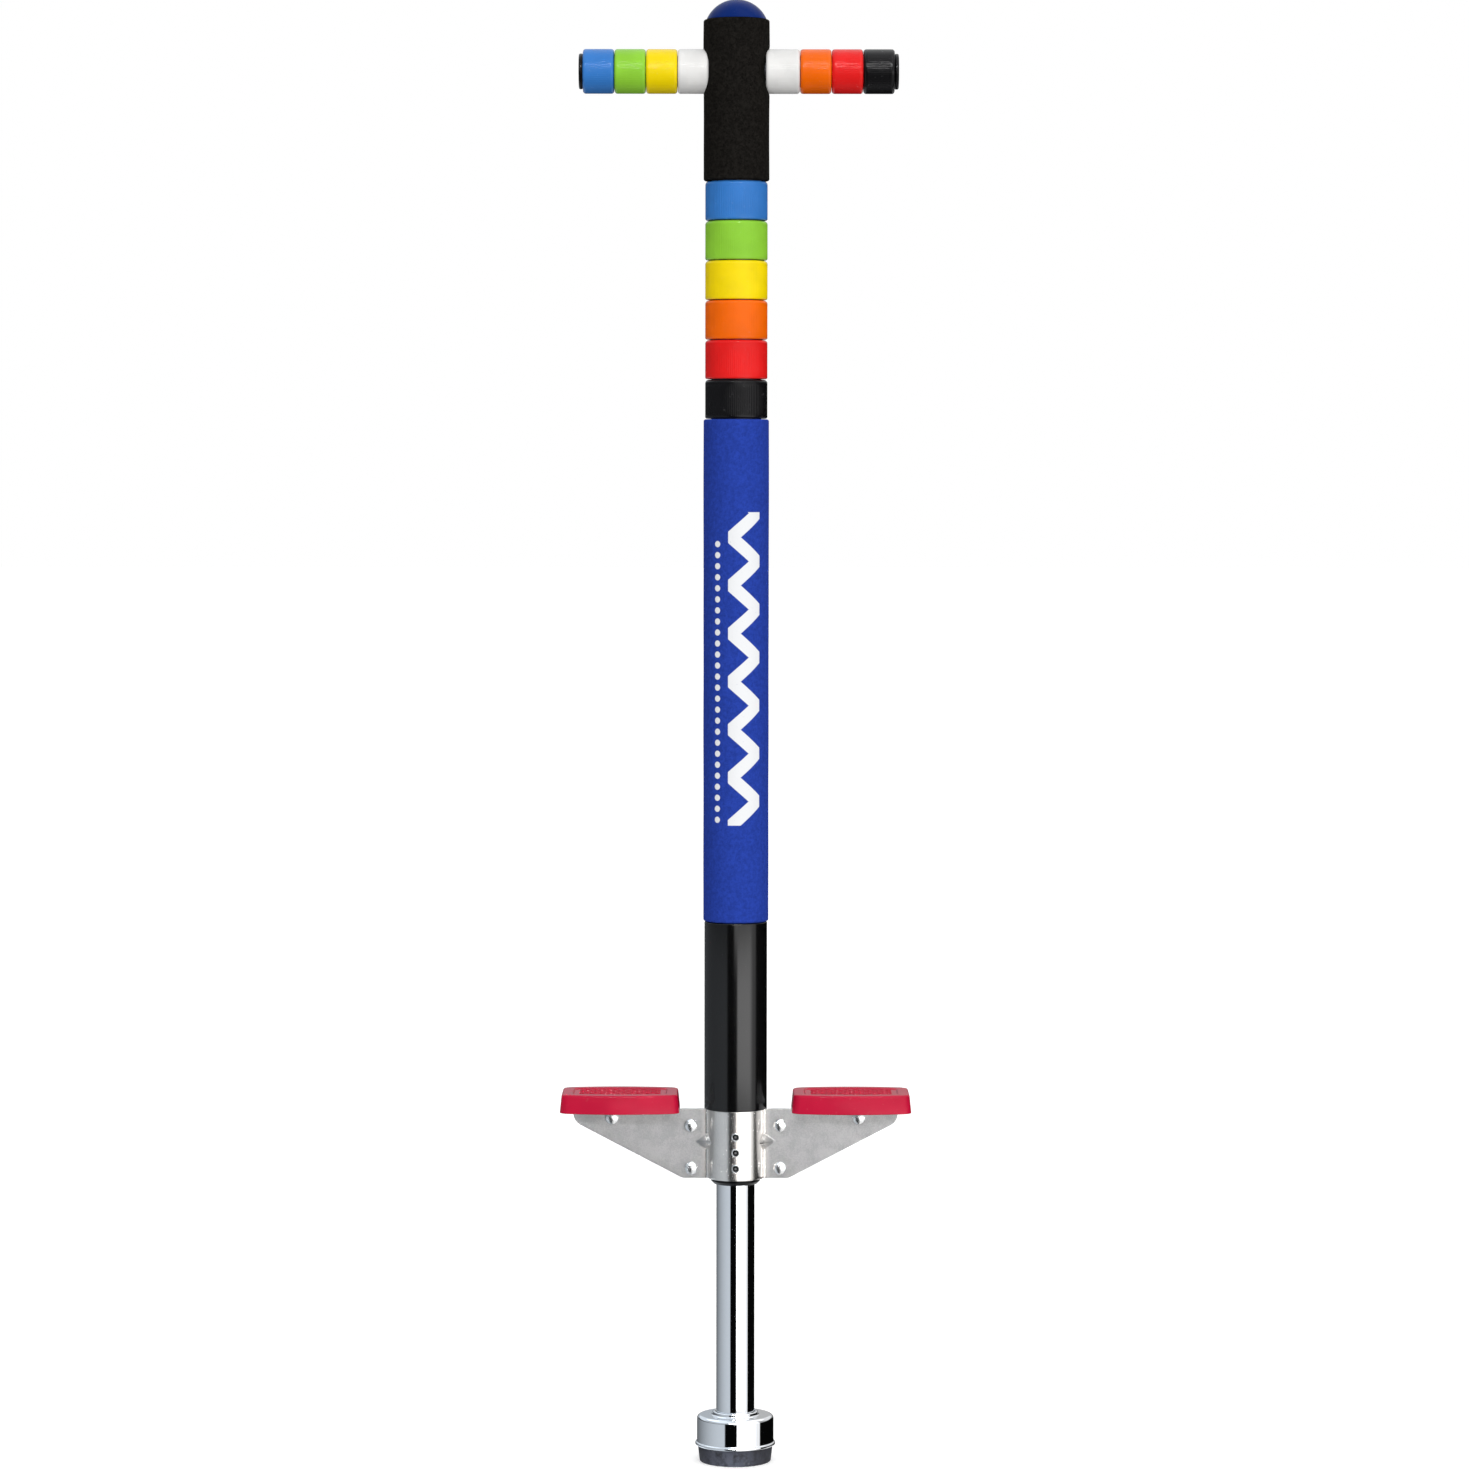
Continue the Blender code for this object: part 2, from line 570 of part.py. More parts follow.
def make_spring(group):
    """An open coil with one closed turn at each end, held between the piston and the upper seat."""
    low = PISTON_TOP + CLEARANCE + SPRING_WIRE
    high = SPRING_TOP - SPRING_WIRE
    closed_pitch = 2 * SPRING_WIRE + CLEARANCE
    active = high - low - 2 * closed_pitch
    turns = SPRING_ACTIVE_TURNS + 2
    count = turns * SPRING_POINTS_PER_TURN
    curve = bpy.data.curves.new("main_spring", "CURVE")
    curve.dimensions = "3D"
    curve.bevel_depth = SPRING_WIRE
    curve.bevel_resolution = 0
    curve.use_fill_caps = True
    spline = curve.splines.new("POLY")
    spline.points.add(count)
    for i, point in enumerate(spline.points):
        turn = i / SPRING_POINTS_PER_TURN
        opened = min(max(turn - 1, 0), SPRING_ACTIVE_TURNS)
        height = low + (turn - opened) * closed_pitch + opened / SPRING_ACTIVE_TURNS * active
        angle = turn * math.tau
        point.co = (SPRING_MEAN_RADIUS * math.cos(angle), SPRING_MEAN_RADIUS * math.sin(angle), height, 1)
    curve.materials.append(finish_material("spring_steel"))
    spring = bpy.data.objects.new("main_spring", curve)
    bpy.context.scene.collection.objects.link(spring)
    spring.parent = group


def make_spring_stop(group):
    seat_bottom = SPRING_TOP + CLEARANCE
    seat = collar_profile(0.0050, GUIDE_OUTER, seat_bottom, SEAT_TOP)
    turned("upper_spring_seat", seat, "black_plastic", group)
    half = TUBE_OUTER - 0.0001
    pin = [(0, -half), (STOP_PIN_RADIUS, -half), (STOP_PIN_RADIUS, half), (0, half)]
    face_front(turned("spring_stop_pin", pin, "rivet_steel", group, SMALL_ROUND), 0, STOP_PIN_HEIGHT)


def make_plunger(group):
    tube = collar_profile(PLUNGER_BORE, PLUNGER_OUTER, PLUNGER_BOTTOM, PLUNGER_TOP)
    turned("plunger_tube", tube, "chrome", group)
    bore = PLUNGER_OUTER + CLEARANCE
    bumper_bottom = BUSHING_TOP + CLEARANCE
    bumper_top = bumper_bottom + BUMPER_LENGTH
    bumper = collar_profile(bore, GUIDE_OUTER - 0.0002, bumper_bottom, bumper_top, 0.0008)
    turned("rebound_bumper", bumper, "black_rubber", group, RING_ROUND)
    skirt = bumper_top + CLEARANCE
    roof = PLUNGER_TOP + CLEARANCE
    crown = [(GUIDE_OUTER, skirt), (GUIDE_OUTER, PISTON_TOP), (0, PISTON_TOP)]
    guide = [(0, roof), (bore, roof), (bore, skirt), *crown]
    turned("piston_guide", guide, "black_plastic", group)


def make_foot(group):
    """The pressed cup on the plunger's end, the plug that holds it there and the rubber tip inside it."""
    wall = 0.0015
    shoulder = 0.0020
    bore = PLUNGER_OUTER + CLEARANCE
    cup = [
        (CUP_OUTER - wall, CUP_BOTTOM), (CUP_LIP - 0.0006, CUP_BOTTOM), (CUP_LIP, CUP_BOTTOM + 0.0006),
        (CUP_LIP, CUP_BOTTOM + 0.0014), (CUP_LIP - 0.0006, CUP_BOTTOM + 0.0020),
        (CUP_OUTER, CUP_BOTTOM + 0.0020),
        *arc((CUP_OUTER - shoulder, CUP_TOP - shoulder), shoulder, 0, 90, 3),
        (COLLAR_OUTER, CUP_TOP), (COLLAR_OUTER, COLLAR_TOP - 0.0006), (COLLAR_OUTER - 0.0006, COLLAR_TOP),
        (bore, COLLAR_TOP), (bore, CUP_TOP - wall), (CUP_OUTER - wall, CUP_TOP - wall),
    ]
    turned("foot_cup", cup, "chrome", group, FOOT_ROUND)
    flange_top = PLUNGER_BOTTOM - CLEARANCE
    flange_bottom = flange_top - 0.0020
    stem = PLUNGER_BORE - CLEARANCE
    flange = [(0, flange_bottom), (0.0160, flange_bottom), (0.0160, flange_top)]
    plug = [*flange, (stem, flange_top), (stem, 0.0450), (0, 0.0450)]
    turned("plunger_plug", plug, "tube_steel", group, RING_ROUND)
    seat = CUP_OUTER - wall - CLEARANCE
    edge = 0.0020
    pocket = flange_bottom - CLEARANCE
    seat_top = CUP_TOP - wall - 0.0004
    tip = [
        (0, 0), *arc((TIP_FLOOR_RADIUS - edge, edge), edge, -90, 0, 3),
        (TIP_TOP_RADIUS, CUP_BOTTOM - CLEARANCE), (seat, CUP_BOTTOM - CLEARANCE), (seat, seat_top),
        (0.0164, seat_top), (0.0164, pocket), (0, pocket),
    ]
    turned("rubber_tip", tip, "grey_rubber", group, FOOT_ROUND)


def main():
    clear_scene()
    stick = make_group("stick_group")
    make_outer_tube(stick)
    make_sleeves(stick)
    make_upper_grip(stick)
    make_dome_cap(stick)
    make_handlebar(stick)
    make_bracket_half("front_bracket", -1, stick)
    make_bracket_half("rear_bracket", 1, stick)
    make_rivets(stick)
    make_pedals(stick)
    make_lower_bushing(stick)
    make_spring(stick)
    make_spring_stop(stick)
    plunger = make_group("plunger_group")
    make_plunger(plunger)
    make_foot(plunger)


main()
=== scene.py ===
"""The pogo stick's looks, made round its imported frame.

A steel column dressed in foam and plastic rings, a cross handlebar, pressed steel brackets with moulded foot
pads, and a sprung chrome plunger on a rubber foot. Metres, +Z up, and -Y is the front. Sizes and places come
from the frame's nodes, so that every piece lies where the frame has it.
"""

import math

import bmesh
import bpy
import numpy as np
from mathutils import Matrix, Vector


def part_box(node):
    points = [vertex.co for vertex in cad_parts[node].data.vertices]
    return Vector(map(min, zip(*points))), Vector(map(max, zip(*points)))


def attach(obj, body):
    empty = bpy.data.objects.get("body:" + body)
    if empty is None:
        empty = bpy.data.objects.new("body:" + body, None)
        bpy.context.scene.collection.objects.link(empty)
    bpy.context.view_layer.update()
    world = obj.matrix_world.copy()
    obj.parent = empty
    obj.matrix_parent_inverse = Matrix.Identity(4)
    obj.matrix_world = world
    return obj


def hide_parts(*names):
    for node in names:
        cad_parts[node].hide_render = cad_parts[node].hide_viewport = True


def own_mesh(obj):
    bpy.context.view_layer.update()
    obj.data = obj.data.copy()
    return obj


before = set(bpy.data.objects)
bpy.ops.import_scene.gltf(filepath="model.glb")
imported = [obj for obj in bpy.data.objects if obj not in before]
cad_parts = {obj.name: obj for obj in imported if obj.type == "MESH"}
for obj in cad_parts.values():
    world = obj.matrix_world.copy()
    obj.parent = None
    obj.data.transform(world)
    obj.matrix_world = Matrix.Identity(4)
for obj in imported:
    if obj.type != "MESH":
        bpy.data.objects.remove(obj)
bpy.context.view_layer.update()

TURN = 2 * math.pi
MERGE = 1e-7
INNER_EDGE = 0.0003

# The camera stands level with the upper foam and looks slightly down.
CAMERA_LENS = 116.4
CAMERA_PLACE = (-0.00105, -2.9408, 0.6118)
CAMERA_AIM = (-0.00105, 0.0, 0.4542)
CAMERA_ROLL = math.radians(-0.058)

COLUMN_RING_RIBS = 96
HANDLE_RING_RIBS = 72
POINTS_PER_RIB = 6
RING_ROWS = 14
COLUMN_RIB_DEPTH = 0.00018
HANDLE_RIB_DEPTH = 0.00007
WHITE_RIB_DEPTH = 0.00006
COLORS_UP_THE_COLUMN = ("black", "red", "orange", "yellow", "green", "blue")
COLORS_FROM_LEFT_END = ("blue", "green", "yellow", "white")
COLORS_FROM_RIGHT_END = ("black", "red", "orange", "white")

PLATE = 0.0015
FOLD_FILLET = 0.0015
DART_HEIGHT = 0.0229
DART_TIP = 0.0240
DART_HALF = 0.0053
DART_ROOT = math.radians(30)
WING_SLOPE_START = 0.0331
WING_SLOPE_END_HEIGHT = 0.2132
WING_TIP_ROUNDING = 0.0085
WING_HEEL_ROUNDING = 0.0050

SPRING_ACTIVE_TURNS = 24

WHITE = (1.0, 1.0, 1.0, 1.0)

low_corner, high_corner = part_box("foam_sleeve")
FOAM_RADIUS = high_corner.x
FOAM_LOW = low_corner.z
FOAM_HIGH = high_corner.z
low_corner, high_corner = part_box("handlebar_tube")
BAR_HEIGHT = (low_corner.z + high_corner.z) / 2
BAR_RADIUS = high_corner.y
SLEEVE_BORE = 0.0158
FOAM_CORE = 0.0180
low_corner, high_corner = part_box("handle_ring_left_white")
HANDLE_RING_RADIUS = high_corner.y


# Surfaces


def grid_quads(rows, columns, wrap_rows=False, wrap_columns=True):
    """Quads between neighbours in a grid of points, row by row. A wrapped side meets its far side."""
    row = np.arange(rows if wrap_rows else rows - 1)[:, None]
    column = np.arange(columns if wrap_columns else columns - 1)[None, :]
    next_row = (row + 1) % rows * columns
    next_column = (column + 1) % columns
    row = row * columns
    corners = (row + column, row + next_column, next_row + next_column, next_row + column)
    return np.stack(corners, axis=-1).reshape(-1, 4)


def smooth(value, low, high):
    """0 below low and 1 above high, with t * t * (3 - 2 t) between them. low may be the greater one."""
    share = np.clip((value - low) / (high - low), 0, 1)
    return share * share * (3 - 2 * share)


def rounded_path(corners, closed=True, steps=6):
    """A path whose corners (a, b, rounding) are arcs. The arc's centre lies on the corner's bisector at
    rounding / sin(half angle), and its points are the spokes between its two ends at equal angles."""
    corners = np.asarray(corners, float)
    path = []
    for i, corner in enumerate(corners):
        here, rounding = corner[:2], corner[2]
        if rounding == 0 or not (closed or 0 < i < len(corners) - 1):
            path.append(here[None])
            continue
        before = corners[i - 1][:2] - here
        after = corners[(i + 1) % len(corners)][:2] - here
        before = before / np.linalg.norm(before)
        after = after / np.linalg.norm(after)
        half = math.acos(np.clip(before @ after, -1, 1)) / 2
        centre = here + (before + after) / np.linalg.norm(before + after) * rounding / math.sin(half)
        first = here + before * rounding / math.tan(half) - centre
        last = here + after * rounding / math.tan(half) - centre
        sweep = math.pi - 2 * half
        share = np.linspace(0, 1, steps + 1)[:, None]
        spokes = np.sin((1 - share) * sweep) * first + np.sin(share * sweep) * last
        path.append(centre + spokes / math.sin(sweep))
    return np.concatenate(path)


def ring_section(bore, outer, low, high, low_edge, high_edge, rows=0):
    """A tube's closed section: the bore's foot, the outside upwards in rows, and the bore's top."""
    wall = [(outer, z, 0) for z in np.linspace(low + low_edge, high - high_edge, rows + 2)[1:-1]]
    corners = [(bore, low, INNER_EDGE), (outer, low, low_edge), *wall, (outer, high, high_edge)]
    return rounded_path([*corners, (bore, high, INNER_EDGE)])


def turned(profile, segments, press=None, wrap=True):
    """A turned surface: row i and column j lie at radius r_i + press(angle_j, z_i, r_i), angle j / segments
    of a turn and height z_i. Without wrap the profile starts and ends on the axis."""
    angle = np.arange(segments) * (TURN / segments)
    radius, height = profile[:, :1], profile[:, 1:2]
    out = radius + (press(angle, height, radius) if press else 0 * angle)
    points = np.stack([out * np.cos(angle), out * np.sin(angle), height + 0 * angle], axis=-1)
    return points, grid_quads(len(profile), segments, wrap_rows=wrap)


def laid_on_bar(patch, x, toward):
    """A turned patch laid along the handlebar: its height runs along X from x, and its circle stands up."""
    points, quads = patch
    across, up, along = points[..., 0], points[..., 1], points[..., 2]
    return np.stack([x + toward * along, across, BAR_HEIGHT + up], axis=-1), quads


def faced_front(patch, x, z):
    """A turned patch whose height points to the front, at that X and Z."""
    points, quads = patch
    return np.stack([x + points[..., 0], -points[..., 2], z + points[..., 1]], axis=-1), quads


def add_piece(name, finish, patches, body="stick", stands_for=(), sharp=50, masks=None):
    """One mesh piece from patches of points and quads. Doubles are merged and faces turned outwards, and
    the piece rides on its body, takes the finish of its slot and stands for its frame nodes."""
    points = np.concatenate([points.reshape(-1, 3) for points, _ in patches])
    starts = np.cumsum([0, *[points.size // 3 for points, _ in patches[:-1]]])
    quads = np.concatenate([quads + start for (_, quads), start in zip(patches, starts)])
    mesh = bpy.data.meshes.new(name)
    mesh.vertices.add(len(points))
    mesh.vertices.foreach_set("co", points.astype(np.float32).ravel())
    mesh.loops.add(quads.size)
    mesh.loops.foreach_set("vertex_index", quads.astype(np.int32).ravel())
    mesh.polygons.add(len(quads))
    mesh.polygons.foreach_set("loop_start", np.arange(0, quads.size, 4, dtype=np.int32))
    for label, values in (masks or {}).items():
        mask = mesh.attributes.new(label, "FLOAT", "POINT")
        mask.data.foreach_set("value", values.astype(np.float32).ravel())
    mesh.update(calc_edges=True)
    shell = bmesh.new()
    shell.from_mesh(mesh)
    bmesh.ops.remove_doubles(shell, verts=shell.verts, dist=MERGE)
    bmesh.ops.recalc_face_normals(shell, faces=shell.faces)
    shell.to_mesh(mesh)
    shell.free()
    mesh.shade_smooth()
    mesh.set_sharp_from_angle(angle=math.radians(sharp))
    mesh.materials.append(finishes[finish])
    piece = bpy.data.objects.new(name, mesh)
    bpy.context.scene.collection.objects.link(piece)
    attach(piece, body)
    if stands_for:
        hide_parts(*stands_for)
    return piece


# Nodes of materials


def add_node(tree, kind, inputs=None, **settings):
    """A node with settings, and with inputs by name or number: a value, or the socket that feeds it."""
    node = tree.nodes.new("ShaderNode" + kind)
    for label, value in settings.items():
        setattr(node, label, value)
    for label, value in (inputs or {}).items():
        if isinstance(value, bpy.types.NodeSocket):
            tree.links.new(value, node.inputs[label])
        else:
            node.inputs[label].default_value = value
    return node


def maths(tree, operation, *values):
    return add_node(tree, "Math", dict(enumerate(values)), operation=operation).outputs[0]


def product(tree, first, *others):
    for other in others:
        first = maths(tree, "MULTIPLY", first, other)
    return first


def remap(tree, value, low, high, to_low=0.0, to_high=1.0):
    """The value carried from low..high to to_low..to_high, with soft ends."""
    inputs = {0: value, 1: low, 2: high, 3: to_low, 4: to_high}
    return add_node(tree, "MapRange", inputs, interpolation_type="SMOOTHSTEP").outputs[0]


def mix_colors(tree, share, first, second, blend="MIX"):
    inputs = {0: share, 6: first, 7: second}
    return add_node(tree, "Mix", inputs, data_type="RGBA", blend_type=blend).outputs[2]


def noise(tree, vector, scale, detail=2.0, roughness=0.5):
    inputs = {"Vector": vector, "Scale": scale, "Detail": detail, "Roughness": roughness}
    return add_node(tree, "TexNoise", inputs).outputs[0]


def object_place(tree):
    return add_node(tree, "TexCoord").outputs["Object"]


def split(tree, vector):
    """The X, Y and Z of a vector."""
    return add_node(tree, "SeparateXYZ", {"Vector": vector}).outputs


def new_group(name, inputs, outputs):
    """An empty shader group with its named inputs, each with its usual value, and its named outputs."""
    group = bpy.data.node_groups.new(name, "ShaderNodeTree")
    for label, value in inputs.items():
        kind = "NodeSocketColor" if isinstance(value, tuple) else "NodeSocketFloat"
        group.interface.new_socket(label, in_out="INPUT", socket_type=kind).default_value = value
    for label in outputs:
        kind = "NodeSocketColor" if label == "Color" else "NodeSocketFloat"
        group.interface.new_socket(label, in_out="OUTPUT", socket_type=kind)
    return group, group.nodes.new("NodeGroupInput").outputs, group.nodes.new("NodeGroupOutput").inputs


def make_moulded_skin():
    """Moulded plastic: a cloudy tint, fine grain in the skin and a few paler rubbed spots."""
    usual = {"Color": (0.5, 0.5, 0.5, 1.0), "Roughness": 0.4, "Grain": 1800.0, "Rubs": 0.3}
    group, given, out = new_group("Moulded skin", usual, ("Color", "Roughness", "Height"))
    place = object_place(group)
    cloud = noise(group, place, 55.0, 3.0)
    tint = mix_colors(group, remap(group, cloud, 0.3, 0.7), (0.90, 0.90, 0.90, 1.0), WHITE)
    tinted = mix_colors(group, 1.0, given["Color"], tint, "MULTIPLY")
    rub = remap(group, noise(group, place, 260.0, 5.0, 0.7), 0.60, 0.78)
    rub = product(group, rub, given["Rubs"])
    pale = mix_colors(group, 0.25, tinted, WHITE)
    group.links.new(mix_colors(group, rub, tinted, pale), out["Color"])
    rough = maths(group, "MULTIPLY_ADD", rub, 0.25, given["Roughness"])
    group.links.new(maths(group, "MULTIPLY_ADD", cloud, 0.06, rough), out["Roughness"])
    group.links.new(noise(group, place, given["Grain"], 2.0), out["Height"])
    return group


def make_metal_skin():
    """Plated or bare metal: mottled brightness, a fine frost and upright hairline scratches."""
    usual = {"Color": (0.7, 0.7, 0.7, 1.0), "Roughness": 0.3}
    usual |= {"Mottle": 0.2, "Frost": 1400.0, "Scratches": 0.3}
    group, given, out = new_group("Metal skin", usual, ("Color", "Roughness", "Height"))
    place = object_place(group)
    fine = noise(group, place, given["Frost"], 3.0, 0.6)
    broad = noise(group, place, 90.0, 4.0, 0.6)
    mottle = product(group, maths(group, "ADD", fine, broad), 0.5)
    dark = product(group, remap(group, mottle, 0.62, 0.38), given["Mottle"])
    dull = mix_colors(group, 1.0, given["Color"], (0.45, 0.46, 0.48, 1.0), "MULTIPLY")
    group.links.new(mix_colors(group, dark, given["Color"], dull), out["Color"])
    squeeze = add_node(group, "Mapping", {"Vector": place, "Scale": (1.0, 1.0, 0.03)}).outputs[0]
    lines = remap(group, noise(group, squeeze, 1500.0, 3.0, 0.6), 0.62, 0.75)
    lines = product(group, lines, given["Scratches"])
    rough = maths(group, "MULTIPLY_ADD", lines, 0.12, given["Roughness"])
    group.links.new(maths(group, "MULTIPLY_ADD", dark, 0.25, rough), out["Roughness"])
    group.links.new(maths(group, "MULTIPLY_ADD", lines, -0.5, fine), out["Height"])
    return group


def make_foam_cells():
    """Closed-cell foam: pinhead cells whose pits are darkened as painted shade, over a soft unevenness of the
    skin.
    """
    usual = {"Color": (0.1, 0.1, 0.1, 1.0), "Cells": 900.0, "Pit shade": 0.5, "Unevenness": 0.3}
    group, given, out = new_group("Foam cells", usual, ("Color", "Roughness", "Height"))
    place = object_place(group)
    inputs = {"Vector": place, "Scale": given["Cells"], "Randomness": 1.0}
    cell = add_node(group, "TexVoronoi", inputs, feature="SMOOTH_F1").outputs["Distance"]
    cloud = noise(group, place, 430.0, 4.0, 0.65)
    # Painted shade: the colour darkens in each cell's pit.
    pit = product(group, remap(group, cell, 0.45, 0.15), given["Pit shade"])
    spread = remap(group, cloud, 0.3, 0.7)
    shade = mix_colors(group, spread, (0.35, 0.35, 0.35, 1.0), (1.65, 1.65, 1.65, 1.0))
    shade = mix_colors(group, given["Unevenness"], WHITE, shade)
    tinted = mix_colors(group, 1.0, given["Color"], shade, "MULTIPLY")
    pit_shaded = mix_colors(group, 1.0, tinted, (0.55, 0.55, 0.55, 1.0), "MULTIPLY")
    group.links.new(mix_colors(group, pit, tinted, pit_shaded), out["Color"])
    group.links.new(maths(group, "MULTIPLY_ADD", cloud, 0.15, 0.80), out["Roughness"])
    group.links.new(maths(group, "ADD", cell, cloud), out["Height"])
    return group


def make_dust_and_painted_centre_light():
    """Dry dust in patches, thickest at the floor and gone above the given height. It also paints light:
    the mask is full in a band down the middle across X and a quarter at the sides, so the middle reads lit.
    """
    group, given, out = new_group("Settled dust and painted centre light", {"Amount": 0.5, "Top": 0.02}, ("Mask",))
    place = object_place(group)
    part = split(group, place)
    # Painted light: the mask is full in a band down the middle across X and falls to a quarter at the sides.
    off_lit_middle = maths(group, "ABSOLUTE", maths(group, "ADD", part["X"], 0.004))
    painted_centre_light = remap(group, off_lit_middle, 0.003, 0.022, 1.0, 0.25)
    fade = product(group, remap(group, part["Z"], given["Top"], 0.0), painted_centre_light)
    patch = remap(group, noise(group, place, 190.0, 6.0, 0.7), 0.28, 0.60)
    group.links.new(product(group, fade, patch, given["Amount"]), out["Mask"])
    return group


def make_spring_line_print():
    """A plain zigzag line like a drawn spring, with a row of dots beside it, wrapped round the foam. Across
    is the arc length radius * atan2(x, -y), the zigzag's middle is a triangle wave of the height, and the
    print is where the distance to it is under half the line's width."""
    usual = {"Low": 0.399, "High": 0.592, "Pitch": 0.0296, "Reach": 0.0085, "Line": 0.0078}
    soft = 0.00025
    zigzag_place, zigzag_half = 0.0055, 0.0105
    dot_place, dot_radius, dot_pitch, dot_count = 0.0122, 0.0019, 0.0068, 26
    group, given, out = new_group("Spring line print", usual, ("Mask",))
    place = split(group, object_place(group))
    angle = maths(group, "ARCTAN2", place["X"], product(group, place["Y"], -1.0))
    across = product(group, angle, FOAM_RADIUS)
    height = place["Z"]
    climb = maths(group, "SUBTRACT", height, given["Low"])

    def between(value, low, high):
        rise = remap(group, value, maths(group, "SUBTRACT", low, soft), maths(group, "ADD", low, soft))
        fall = remap(group, value, maths(group, "ADD", high, soft), maths(group, "SUBTRACT", high, soft))
        return product(group, rise, fall)

    wave = maths(group, "PINGPONG", maths(group, "DIVIDE", climb, given["Pitch"]), 0.5)
    wave = maths(group, "MULTIPLY_ADD", wave, 4.0, -1.0)
    middle = maths(group, "MULTIPLY_ADD", wave, given["Reach"], zigzag_place)
    away = maths(group, "ABSOLUTE", maths(group, "SUBTRACT", across, middle))
    slope = maths(group, "DIVIDE", product(group, given["Reach"], 4.0), given["Pitch"])
    lean = maths(group, "SQRT", maths(group, "MULTIPLY_ADD", slope, slope, 1.0))
    away = maths(group, "DIVIDE", away, lean)
    thick = between(away, -1.0, product(group, given["Line"], 0.5))
    off_middle = maths(group, "ABSOLUTE", maths(group, "SUBTRACT", across, zigzag_place))
    blunt = between(off_middle, -1.0, zigzag_half)
    line = product(group, thick, between(height, given["Low"], given["High"]), blunt)

    step = maths(group, "FRACT", maths(group, "DIVIDE", climb, dot_pitch))
    up = product(group, maths(group, "SUBTRACT", step, 0.5), dot_pitch)
    side = maths(group, "ADD", across, dot_place)
    square = maths(group, "MULTIPLY_ADD", up, up, product(group, side, side))
    round_dot = between(maths(group, "SQRT", square), -1.0, dot_radius)
    dots_high = maths(group, "ADD", given["Low"], dot_count * dot_pitch)
    dots = product(group, round_dot, between(height, given["Low"], dots_high))
    worn = remap(group, noise(group, object_place(group), 700.0, 4.0, 0.7), 0.24, 0.36, 0.55, 1.0)
    group.links.new(product(group, maths(group, "MAXIMUM", line, dots), worn), out["Mask"])
    return group


def new_material(name, roughness, metallic=0.0, **fixed):
    """A material and its Principled shader. fixed sets its other sockets, _ standing for a space."""
    material = bpy.data.materials.new(name)
    material.use_nodes = True
    tree = material.node_tree
    shader = tree.nodes["Principled BSDF"]
    shader.inputs["Roughness"].default_value = roughness
    shader.inputs["Metallic"].default_value = metallic
    for label, value in fixed.items():
        shader.inputs[label.replace("_", " ")].default_value = value
    return material, tree, shader


def dress(tree, shader, skin, values, relief):
    """Places a skin group with its values and feeds the shader's colour, roughness and normal from it."""
    node = add_node(tree, "Group", node_tree=skin)
    for label, value in values.items():
        node.inputs[label].default_value = value
    tree.links.new(node.outputs["Color"], shader.inputs["Base Color"])
    tree.links.new(node.outputs["Roughness"], shader.inputs["Roughness"])
    height = {"Height": node.outputs["Height"], "Distance": relief, "Strength": 1.0}
    tree.links.new(add_node(tree, "Bump", height).outputs[0], shader.inputs["Normal"])
    return node


def make_plastic(name, color, roughness=0.14, rubs=0.2, relief=0.000008, **fixed):
    fixed = {"Specular_IOR_Level": 0.17, **fixed}
    material, tree, shader = new_material(name, roughness, **fixed)
    values = {"Color": (*color, 1.0), "Roughness": roughness, "Rubs": rubs}
    dress(tree, shader, skins["moulded"], values, relief)
    return material


def make_metal(name, color, roughness, mottle, frost=1400.0, scratches=0.3, relief=0.00001):
    material, tree, shader = new_material(name, roughness, 1.0)
    values = {"Color": (*color, 1.0), "Roughness": roughness, "Mottle": mottle, "Frost": frost}
    dress(tree, shader, skins["metal"], {**values, "Scratches": scratches}, relief)
    return material


def make_zinc_plate(name):
    """Satin zinc, burnished where it is drawn round the barrel and into the darts. flat is 0 there and 1 on
    the wings, by the distance from the column's axis, and the wings are duller and more mottled."""
    roughness, burnish = 0.36, 0.13
    material, tree, shader = new_material(name, roughness, 1.0)
    values = {"Color": (0.87, 0.84, 0.81, 1.0), "Roughness": roughness, "Frost": 1500.0, "Scratches": 0.15}
    skin = dress(tree, shader, skins["metal"], values, 0.000003)
    place = split(tree, object_place(tree))
    square = maths(tree, "MULTIPLY_ADD", place["Y"], place["Y"], maths(tree, "POWER", place["X"], 2.0))
    flat = remap(tree, maths(tree, "SQRT", square), 0.0172, 0.0225)
    tree.links.new(maths(tree, "MULTIPLY_ADD", flat, 0.36, 0.08), skin.inputs["Mottle"])
    smoothest = maths(tree, "SUBTRACT", skin.outputs["Roughness"], burnish)
    tree.links.new(maths(tree, "MULTIPLY_ADD", flat, burnish, smoothest), shader.inputs["Roughness"])
    dull = mix_colors(tree, flat, WHITE, (0.64, 0.657, 0.677, 1.0))
    zinc = mix_colors(tree, 1.0, skin.outputs["Color"], dull, "MULTIPLY")
    tree.links.new(zinc, shader.inputs["Base Color"])
    return material


def make_foam(name, color):
    """Foam with no print."""
    material, tree, shader = new_material(name, 0.9, Specular_IOR_Level=0.02)
    dress(tree, shader, skins["foam"], {"Color": (*color, 1.0), "Pit shade": 0.9, "Unevenness": 0.55}, 0.00012)
    return material


def make_printed_foam(name, color):
    """The blue foam with its white print, which lies a little smoother than the foam."""
    material, tree, shader = new_material(name, 0.88, Specular_IOR_Level=0.03)
    values = {"Color": (*color, 1.0), "Pit shade": 0.3, "Unevenness": 0.22}
    foam = dress(tree, shader, skins["foam"], values, 0.00006)
    ink = add_node(tree, "Group", node_tree=skins["print"]).outputs["Mask"]
    inked = mix_colors(tree, ink, foam.outputs["Color"], (0.86, 0.87, 0.89, 1.0))
    tree.links.new(inked, shader.inputs["Base Color"])
    rough = maths(tree, "MULTIPLY_ADD", ink, -0.25, foam.outputs["Roughness"])
    tree.links.new(rough, shader.inputs["Roughness"])
    return material


